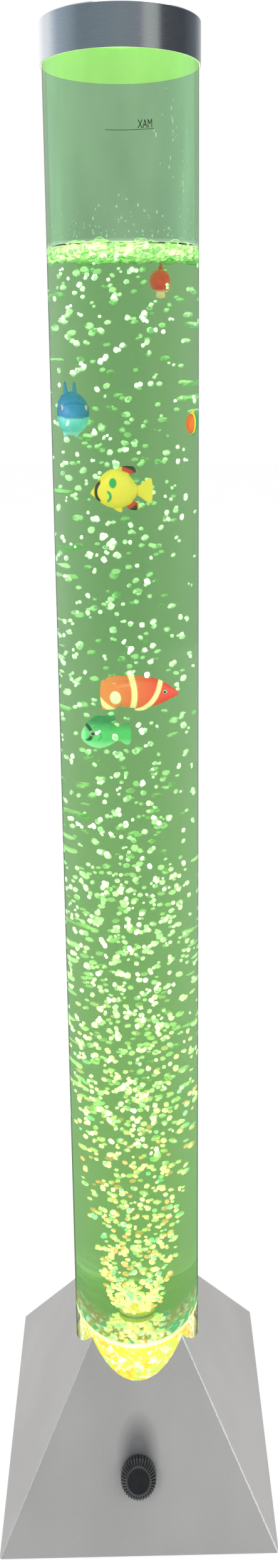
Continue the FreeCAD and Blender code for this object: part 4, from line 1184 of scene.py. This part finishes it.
def make_yellow_fish():
    """A disc-shaped yellow fish, seen from its side."""
    fish = Fish("fish_yellow", 180)
    fish.loft(
        [
            (1.0, -0.10, 0.03, 0.035), (0.9, -0.09, 0.06, 0.09), (0.8, -0.05, 0.10, 0.2),
            (0.6, 0.0, 0.16, 0.38), (0.3, 0.02, 0.2, 0.5), (0.0, 0.01, 0.2, 0.49),
            (-0.25, -0.01, 0.15, 0.37), (-0.42, -0.04, 0.08, 0.18), (-0.52, -0.05, 0.045, 0.1),
            (-0.66, -0.05, 0.03, 0.2), (-0.84, -0.05, 0.025, 0.3), (-1.0, -0.04, 0.02, 0.35),
        ],
        sides=16,
    )
    fish.back_fin([(0.36, 0.0, 0.05, 0.34), (0.48, -0.08, 0.03, 0.27), (0.6, -0.14, 0.02, 0.14)])
    fish.belly_fin([(0.3, -0.18, 0.05, 0.2), (0.46, -0.26, 0.03, 0.15), (0.55, -0.3, 0.02, 0.1)])
    fish.belly_fin([(0.4, 0.12, 0.05, 0.12), (0.52, 0.08, 0.03, 0.1), (0.6, 0.0, 0.02, 0.05)])
    skin = Skin("yellow_fish_plastic", fish)
    yellow = skin.blend(skin.noise(60), (0.90, 0.66, 0.04), (1.0, 0.80, 0.10))
    off_body = skin.oval(0.12, 0.0, 0.66, 0.5)
    rear = skin.times(skin.short_of(skin.along, -0.02), skin.beyond(skin.along, -0.5))
    outer = skin.times(skin.beyond(off_body, 0.95), rear)
    edge = skin.times(outer, skin.beyond(off_body, 1.16))
    mouth = skin.times(skin.ring(0.52, -0.17, 0.16, 0.13, 0.28), skin.short_of(skin.along, 0.47))
    green = (0.02, 0.40, 0.12)
    band = skin.times(skin.ring(0.5, -0.06, 0.33, 0.3, 0.15), skin.beyond(skin.along, 0.68))
    shade = skin.layers(
        yellow,
        (outer, (0.72, 0.03, 0.02)),
        (edge, (0.02, 0.015, 0.015)),
        (skin.spot(0.28, 0.17, 0.12, 0.13), green),
        (mouth, green),
        (band, (0.02, 0.02, 0.02)),
    )
    skin.gloss(shade, 0.5)
    fish.finish(skin.material)


def make_striped_fish():
    """A long orange-red fish with pale bands, nose to the right."""
    fish = Fish("fish_striped", 0, 1.12)
    fish.loft(
        [
            (1.0, -0.06, 0.02, 0.025), (0.88, -0.04, 0.07, 0.1), (0.7, 0.0, 0.14, 0.24),
            (0.45, 0.04, 0.2, 0.4), (0.15, 0.04, 0.24, 0.5), (-0.2, 0.02, 0.21, 0.48),
            (-0.5, 0.0, 0.14, 0.38), (-0.64, -0.02, 0.08, 0.3), (-0.74, -0.02, 0.04, 0.36),
            (-0.88, 0.0, 0.03, 0.46), (-1.0, 0.02, 0.02, 0.4),
        ],
        sides=16,
    )
    fish.back_fin([(0.34, -0.2, 0.06, 0.85), (0.5, -0.3, 0.03, 0.72), (0.62, -0.42, 0.02, 0.5)])
    fish.belly_fin([(0.36, 0.1, 0.05, 0.3), (0.5, 0.02, 0.03, 0.22), (0.6, -0.06, 0.02, 0.12)])
    fish.belly_fin([(0.3, -0.8, 0.05, 0.3), (0.46, -0.9, 0.03, 0.24), (0.56, -1.0, 0.02, 0.16)])
    fish.eyes(0.62, 0.165, 0.06, 0.075)
    skin = Skin("striped_fish_plastic", fish)
    orange, red, pale = (0.92, 0.24, 0.06), (0.80, 0.05, 0.03), (1.0, 0.86, 0.42)
    second = skin.times(skin.ring(-1.4, 0.0, 1.25, 1.6, 0.055), skin.beyond(skin.up, -0.5))
    shade = skin.layers(
        skin.blend(skin.span(skin.along, 0, 1, -0.8, 0.5), orange, red),
        (skin.ring(-0.35, 0.55, 0.85, 1.2, 0.07), pale),
        (second, pale),
        (skin.spot(-0.62, -0.12, 0.13, 0.22), (0.95, 0.95, 0.62)),
    )
    skin.gloss(shade, 0.7)
    fish.finish(skin.material)


def make_green_fish():
    """A chubby green fish with a dark mask, nose to the left."""
    fish = Fish("fish_green", 180, 1.2)
    fish.loft(
        [
            (1.0, -0.16, 0.05, 0.07), (0.92, -0.14, 0.14, 0.18), (0.72, -0.05, 0.22, 0.36),
            (0.4, 0.02, 0.27, 0.5), (0.05, 0.02, 0.26, 0.48), (-0.25, -0.02, 0.19, 0.34),
            (-0.48, -0.05, 0.09, 0.19), (-0.6, -0.05, 0.05, 0.22), (-0.8, -0.05, 0.03, 0.34),
            (-0.94, -0.05, 0.025, 0.32), (-1.0, -0.05, 0.02, 0.24),
        ],
        sides=16,
    )
    fish.back_fin([(0.36, 0.1, 0.06, 0.36), (0.5, 0.0, 0.03, 0.28), (0.6, -0.1, 0.02, 0.14)])
    fish.belly_fin([(0.36, 0.3, 0.06, 0.16), (0.5, 0.24, 0.03, 0.14), (0.58, 0.18, 0.02, 0.08)])
    fish.side_fins(
        [(0.0, 0, 0.05, 0.1), (0.2, -0.03, 0.03, 0.14), (0.32, -0.06, 0.02, 0.08)],
        (0.2, 0.24, -0.12),
    )
    fish.eyes(0.56, 0.27, 0.02, 0.1)
    skin = Skin("green_fish_plastic", fish)
    light, dark = (0.10, 0.62, 0.22), (0.02, 0.26, 0.12)
    mask = skin.times(skin.ring(1.05, 0.0, 0.44, 0.34, 0.17), skin.beyond(skin.up, -0.26))
    gill = skin.times(skin.ring(0.35, -0.06, 0.14, 0.14, 0.14), skin.short_of(skin.along, 0.34))
    shade = skin.layers(
        skin.blend(skin.span(skin.up, 0, 1, 0.05, 0.42), light, dark),
        (skin.span(skin.up, 1, 0, -0.45, -0.2), (0.38, 0.92, 0.52)),
        (skin.beyond(skin.along, 0.86, 0.05), (0.35, 0.85, 0.5)),
        (mask, (0.01, 0.02, 0.02)),
        (gill, (0.02, 0.30, 0.14)),
    )
    skin.gloss(shade, 0.8)
    fish.finish(skin.material)


def make_blue_fish():
    """A round blue fish that faces the front, with two spikes on its back."""
    fish = Fish("fish_blue", -90, 1.14)
    fish.loft(
        [
            (1.0, -0.08, 0.06, 0.06), (0.92, -0.06, 0.2, 0.2), (0.72, -0.03, 0.32, 0.36),
            (0.38, 0.0, 0.38, 0.48), (0.0, 0.0, 0.37, 0.48), (-0.3, 0.0, 0.27, 0.38),
            (-0.52, 0.0, 0.13, 0.22), (-0.66, 0.0, 0.05, 0.24), (-0.85, 0.0, 0.035, 0.36),
            (-1.0, 0.0, 0.03, 0.36),
        ],
        sides=18,
    )
    for lean in (-0.12, 0.1):
        fish.back_fin(
            [(0.3, 0.1, 0.07, 0.16), (0.54, 0.04, 0.045, 0.12), (0.78, 0.0, 0.03, 0.06)],
            (0, lean, 0),
        )
        fish.belly_fin(
            [(0.34, 0.1, 0.07, 0.14), (0.5, 0.06, 0.05, 0.11), (0.6, 0.0, 0.03, 0.06)],
            (0, 1.3 * lean, 0),
        )
    fish.side_fins(
        [(0.0, 0, 0.06, 0.14), (0.2, -0.05, 0.04, 0.22), (0.34, -0.08, 0.03, 0.16)],
        (0.15, 0.36, -0.08),
    )
    fish.eyes(0.62, 0.315, 0.14, 0.075)
    skin = Skin("blue_fish_plastic", fish)
    top = skin.blend(skin.noise(90), (0.02, 0.17, 0.36), (0.05, 0.30, 0.50))
    low = skin.blend(skin.noise(90), (0.10, 0.55, 0.48), (0.22, 0.78, 0.66))
    half = skin.blend(skin.beyond(skin.up, -0.07, 0.02), low, top)
    fins = skin.blend(skin.short_of(skin.up, -0.44, 0.03), half, (0.35, 0.85, 0.8))
    brow = skin.times(skin.ring(0.95, 0.1, 0.3, 0.18, 0.16), 0.55)
    skin.gloss(skin.blend(brow, fins, (0.02, 0.14, 0.28)), 0.5)
    fish.finish(skin.material)


def make_red_fish():
    """A slim red fish that faces the front, a spike on its back and pale fins below."""
    fish = Fish("fish_red", -90)
    fish.loft(
        [
            (1.0, -0.06, 0.05, 0.06), (0.9, -0.05, 0.16, 0.22), (0.65, -0.02, 0.3, 0.42),
            (0.3, 0.0, 0.36, 0.5), (-0.1, 0.0, 0.32, 0.47), (-0.4, 0.0, 0.2, 0.32),
            (-0.56, 0.0, 0.08, 0.2), (-0.8, 0.0, 0.04, 0.34), (-1.0, 0.0, 0.03, 0.36),
        ],
        sides=16,
    )
    fish.back_fin([(0.38, 0.1, 0.14, 0.4), (0.56, 0.0, 0.08, 0.26), (0.82, -0.1, 0.02, 0.08)])
    fish.belly_fin([(0.38, 0.12, 0.12, 0.2), (0.54, 0.1, 0.15, 0.16), (0.74, 0.06, 0.19, 0.1)])
    fish.side_fins(
        [(0.0, 0, 0.08, 0.14), (0.2, -0.05, 0.05, 0.24), (0.36, -0.12, 0.03, 0.2)],
        (-0.1, 0.28, -0.18),
    )
    skin = Skin("red_fish_plastic", fish)
    shade = skin.layers(
        skin.blend(skin.noise(120), (0.50, 0.01, 0.01), (0.78, 0.03, 0.02)),
        (skin.span(skin.along, 1, 0, 0.0, 0.3), (0.92, 0.25, 0.1)),
        (skin.span(skin.up, 1, 0, -0.5, -0.36), (1.0, 0.62, 0.42)),
        (skin.span(skin.along, 1, 0, -0.35, -0.15), (0.92, 0.98, 0.5)),
        (skin.beyond(skin.up, 0.44, 0.04), (0.55, 0.02, 0.02)),
    )
    skin.gloss(shade, 0.9)
    fish.finish(skin.material)


def make_orange_fish():
    """A slim fish that faces the front: orange face, yellow rim, green body."""
    fish = Fish("fish_orange", -90)
    fish.loft(
        [
            (1.0, -0.06, 0.05, 0.06), (0.92, -0.05, 0.14, 0.2), (0.7, -0.02, 0.24, 0.4),
            (0.35, 0.0, 0.3, 0.5), (-0.1, 0.0, 0.28, 0.47), (-0.4, 0.0, 0.18, 0.32),
            (-0.56, 0.0, 0.07, 0.2), (-0.8, 0.0, 0.04, 0.34), (-1.0, 0.0, 0.03, 0.36),
        ],
        sides=16,
    )
    fish.back_fin([(0.36, 0.2, 0.1, 0.4), (0.5, 0.1, 0.06, 0.3), (0.62, 0.0, 0.02, 0.12)])
    fish.belly_fin([(0.36, 0.12, 0.1, 0.24), (0.5, 0.06, 0.07, 0.2), (0.6, 0.0, 0.04, 0.12)])
    fish.side_fins(
        [(0.0, 0, 0.08, 0.14), (0.2, -0.05, 0.05, 0.2), (0.32, -0.1, 0.03, 0.14)],
        (0.0, 0.24, -0.1),
    )
    skin = Skin("orange_fish_plastic", fish)
    face = skin.blend(skin.noise(150), (0.75, 0.08, 0.02), (0.92, 0.25, 0.04))
    rim = skin.blend(skin.beyond(skin.along, 0.52, 0.03), (0.98, 0.75, 0.06), face)
    tail = skin.blend(skin.beyond(skin.along, 0.28, 0.03), (0.04, 0.42, 0.12), rim)
    skin.gloss(skin.blend(skin.beyond(skin.up, 0.47, 0.03), tail, (0.98, 0.72, 0.06)), 0.8)
    fish.finish(skin.material)


def eye_finish(name, first, second):
    """Glossy paint for an eye."""
    return moulded(name, first, second, 0.08, 0.16, 900, 0.05)


def make_fish():
    blank = bpy.data.materials.new("blank")
    PAINTS.append(blank)
    PAINTS.append(eye_finish("eye_ring_paint", (0.75, 0.78, 0.7), (0.9, 0.92, 0.85)))
    PAINTS.append(eye_finish("eye_pupil_paint", (0.01, 0.01, 0.01), (0.025, 0.025, 0.025)))
    make_yellow_fish()
    make_striped_fish()
    make_green_fish()
    make_blue_fish()
    make_red_fish()
    make_orange_fish()
    bpy.data.materials.remove(blank)


# ---------------------------------------------------------------- stage, lights and camera


def make_floor():
    """A pale floor that shows white to the camera and keeps the lamp's soft shadow."""
    deselect()
    bpy.ops.mesh.primitive_plane_add(size=14, location=(0, 0, 0))
    floor = named("pale_floor")
    finish = Finish("pale_floor")
    grain = finish.noise(3)
    finish.colour(finish.blend(grain, (0.9, 0.9, 0.9), (0.94, 0.94, 0.94)))
    finish.rough(grain, 0.8, 0.95)
    share = finish.times(finish.seen(), 0.72)
    finish.surface(finish.mix(share, finish.shader, finish.light((1, 1, 1), 1.2)))
    wear(floor, finish.material)


# The light that a mirror sees around the lamp: bearings from the front in degrees, and colours.
ROOM = (
    (-180, (1.0, 1.0, 1.0)),
    (-150, (1.5, 1.5, 1.5)),
    (-118, (1.5, 1.5, 1.5)),
    (-98, (0.70, 0.80, 0.90)),
    (-78, (0.55, 0.64, 0.70)),
    (-58, (0.33, 0.40, 0.44)),
    (0, (0.40, 0.46, 0.48)),
    (28, (0.42, 0.43, 0.46)),
    (36, (0.76, 0.78, 0.74)),
    (52, (0.74, 0.74, 0.68)),
    (60, (0.15, 0.155, 0.165)),
    (100, (0.12, 0.13, 0.145)),
    (130, (0.24, 0.27, 0.29)),
    (180, (0.60, 0.60, 0.60)),
)


def make_room():
    """A round wall that only reflections see, so that metal mirrors a room: a bright opening to
    the left and a narrower one to the right of the front, dark between and beyond them.
    """
    deselect()
    bpy.ops.mesh.primitive_cylinder_add(
        vertices=96, radius=2.4, depth=3.6, end_fill_type="NOTHING", location=(0, 0, 1.6)
    )
    room = named("room_wall")
    apply_place(room)
    finish = Finish("room_wall")
    place = finish.axes()
    bearing = finish.math("ARCTAN2", place["X"], finish.times(place["Y"], -1.0))
    round_wall = finish.span(bearing, 0, 1, -math.pi, math.pi)
    ramp = finish.node("ValToRGB", round_wall)
    stops = ramp.color_ramp.elements
    for index, (angle, shade) in enumerate(ROOM):
        place = (angle + 180) / 360
        stop = stops[index] if index < 1 else stops.new(place)
        stop.position = place
        stop.color = (*shade, 1)
    stops.remove(stops[len(stops) - 1])
    finish.surface(finish.light(ramp.outputs["Color"], 1.0))
    wear(room, finish.material)
    for ray in ("camera", "shadow", "diffuse", "transmission"):
        setattr(room, "visible_" + ray, False)


def make_world():
    """White where the lamp's surroundings are seen, and an even soft light elsewhere."""
    world = bpy.data.worlds.new("studio")
    bpy.context.scene.world = world
    studio = Tree(world)
    soft = studio.tree.nodes["Background"]
    studio.feed(soft.inputs["Color"], (1, 1, 1))
    studio.feed(soft.inputs["Strength"], 0.45)
    white = studio.node("Background", (1, 1, 1), 1.0)
    output = studio.tree.nodes["World Output"]
    studio.feed(output.inputs["Surface"], studio.mix(studio.seen(), soft, white))


def make_lamp(name, power, size, place, target, colour=(1, 1, 1)):
    """A square soft lamp that faces a point."""
    deselect()
    bpy.ops.object.light_add(type="AREA", location=place)
    lamp = named(name)
    lamp.data.energy = power
    lamp.data.size = size
    lamp.data.color = colour
    lamp.visible_glossy = name == "top_light"
    aim = Vector(target) - Vector(place)
    lamp.rotation_euler = aim.to_track_quat("-Z", "Y").to_euler()


def make_lights():
    make_lamp("key_light", 26, 1.4, (-1.5, -1.9, 2.3), (0, 0, 0.5))
    make_lamp("fill_light", 14, 1.6, (1.9, -1.4, 1.5), (0, 0, 0.4))
    make_lamp("top_light", 10, 1.2, (0.2, 0.6, 2.8), (0, 0, 0.5))
    make_lamp(
        "base_lamp_glow",
        0.05,
        0.05,
        (0, 0, BOARD_TOP + 3 * MM),
        (0, 0, 1),
        (1.0, 0.93, 0.35),
    )


def make_camera():
    """The photograph's viewpoint: close, from a little below the cap, looking down."""
    place = Vector((5.0, -753.6, 900.3)) * MM
    pitch, yaw, roll = math.radians(12.59), math.radians(0.71), math.radians(-0.53)
    ahead = Vector(
        (math.sin(yaw) * math.cos(pitch), math.cos(yaw) * math.cos(pitch), -math.sin(pitch))
    )
    level = Vector((math.cos(yaw), -math.sin(yaw), 0))
    above = level.cross(ahead)
    right = math.cos(roll) * level + math.sin(roll) * above
    up = -math.sin(roll) * level + math.cos(roll) * above
    deselect()
    bpy.ops.object.camera_add()
    camera = named("camera")
    turned = Matrix((right, up, -ahead)).transposed().to_4x4()
    camera.matrix_world = Matrix.Translation(place) @ turned
    camera.data.lens = 25.34
    camera.data.shift_x = -0.0056
    camera.data.shift_y = -0.1316
    camera.data.clip_start = 0.01
    bpy.context.scene.camera = camera
    bpy.context.scene.view_settings.view_transform = "Standard"


finish_nodes()
make_water()
make_bubbles()
make_foam()
make_drops()
make_mark()
make_fish()
make_floor()
make_room()
make_world()
make_lights()
make_camera()
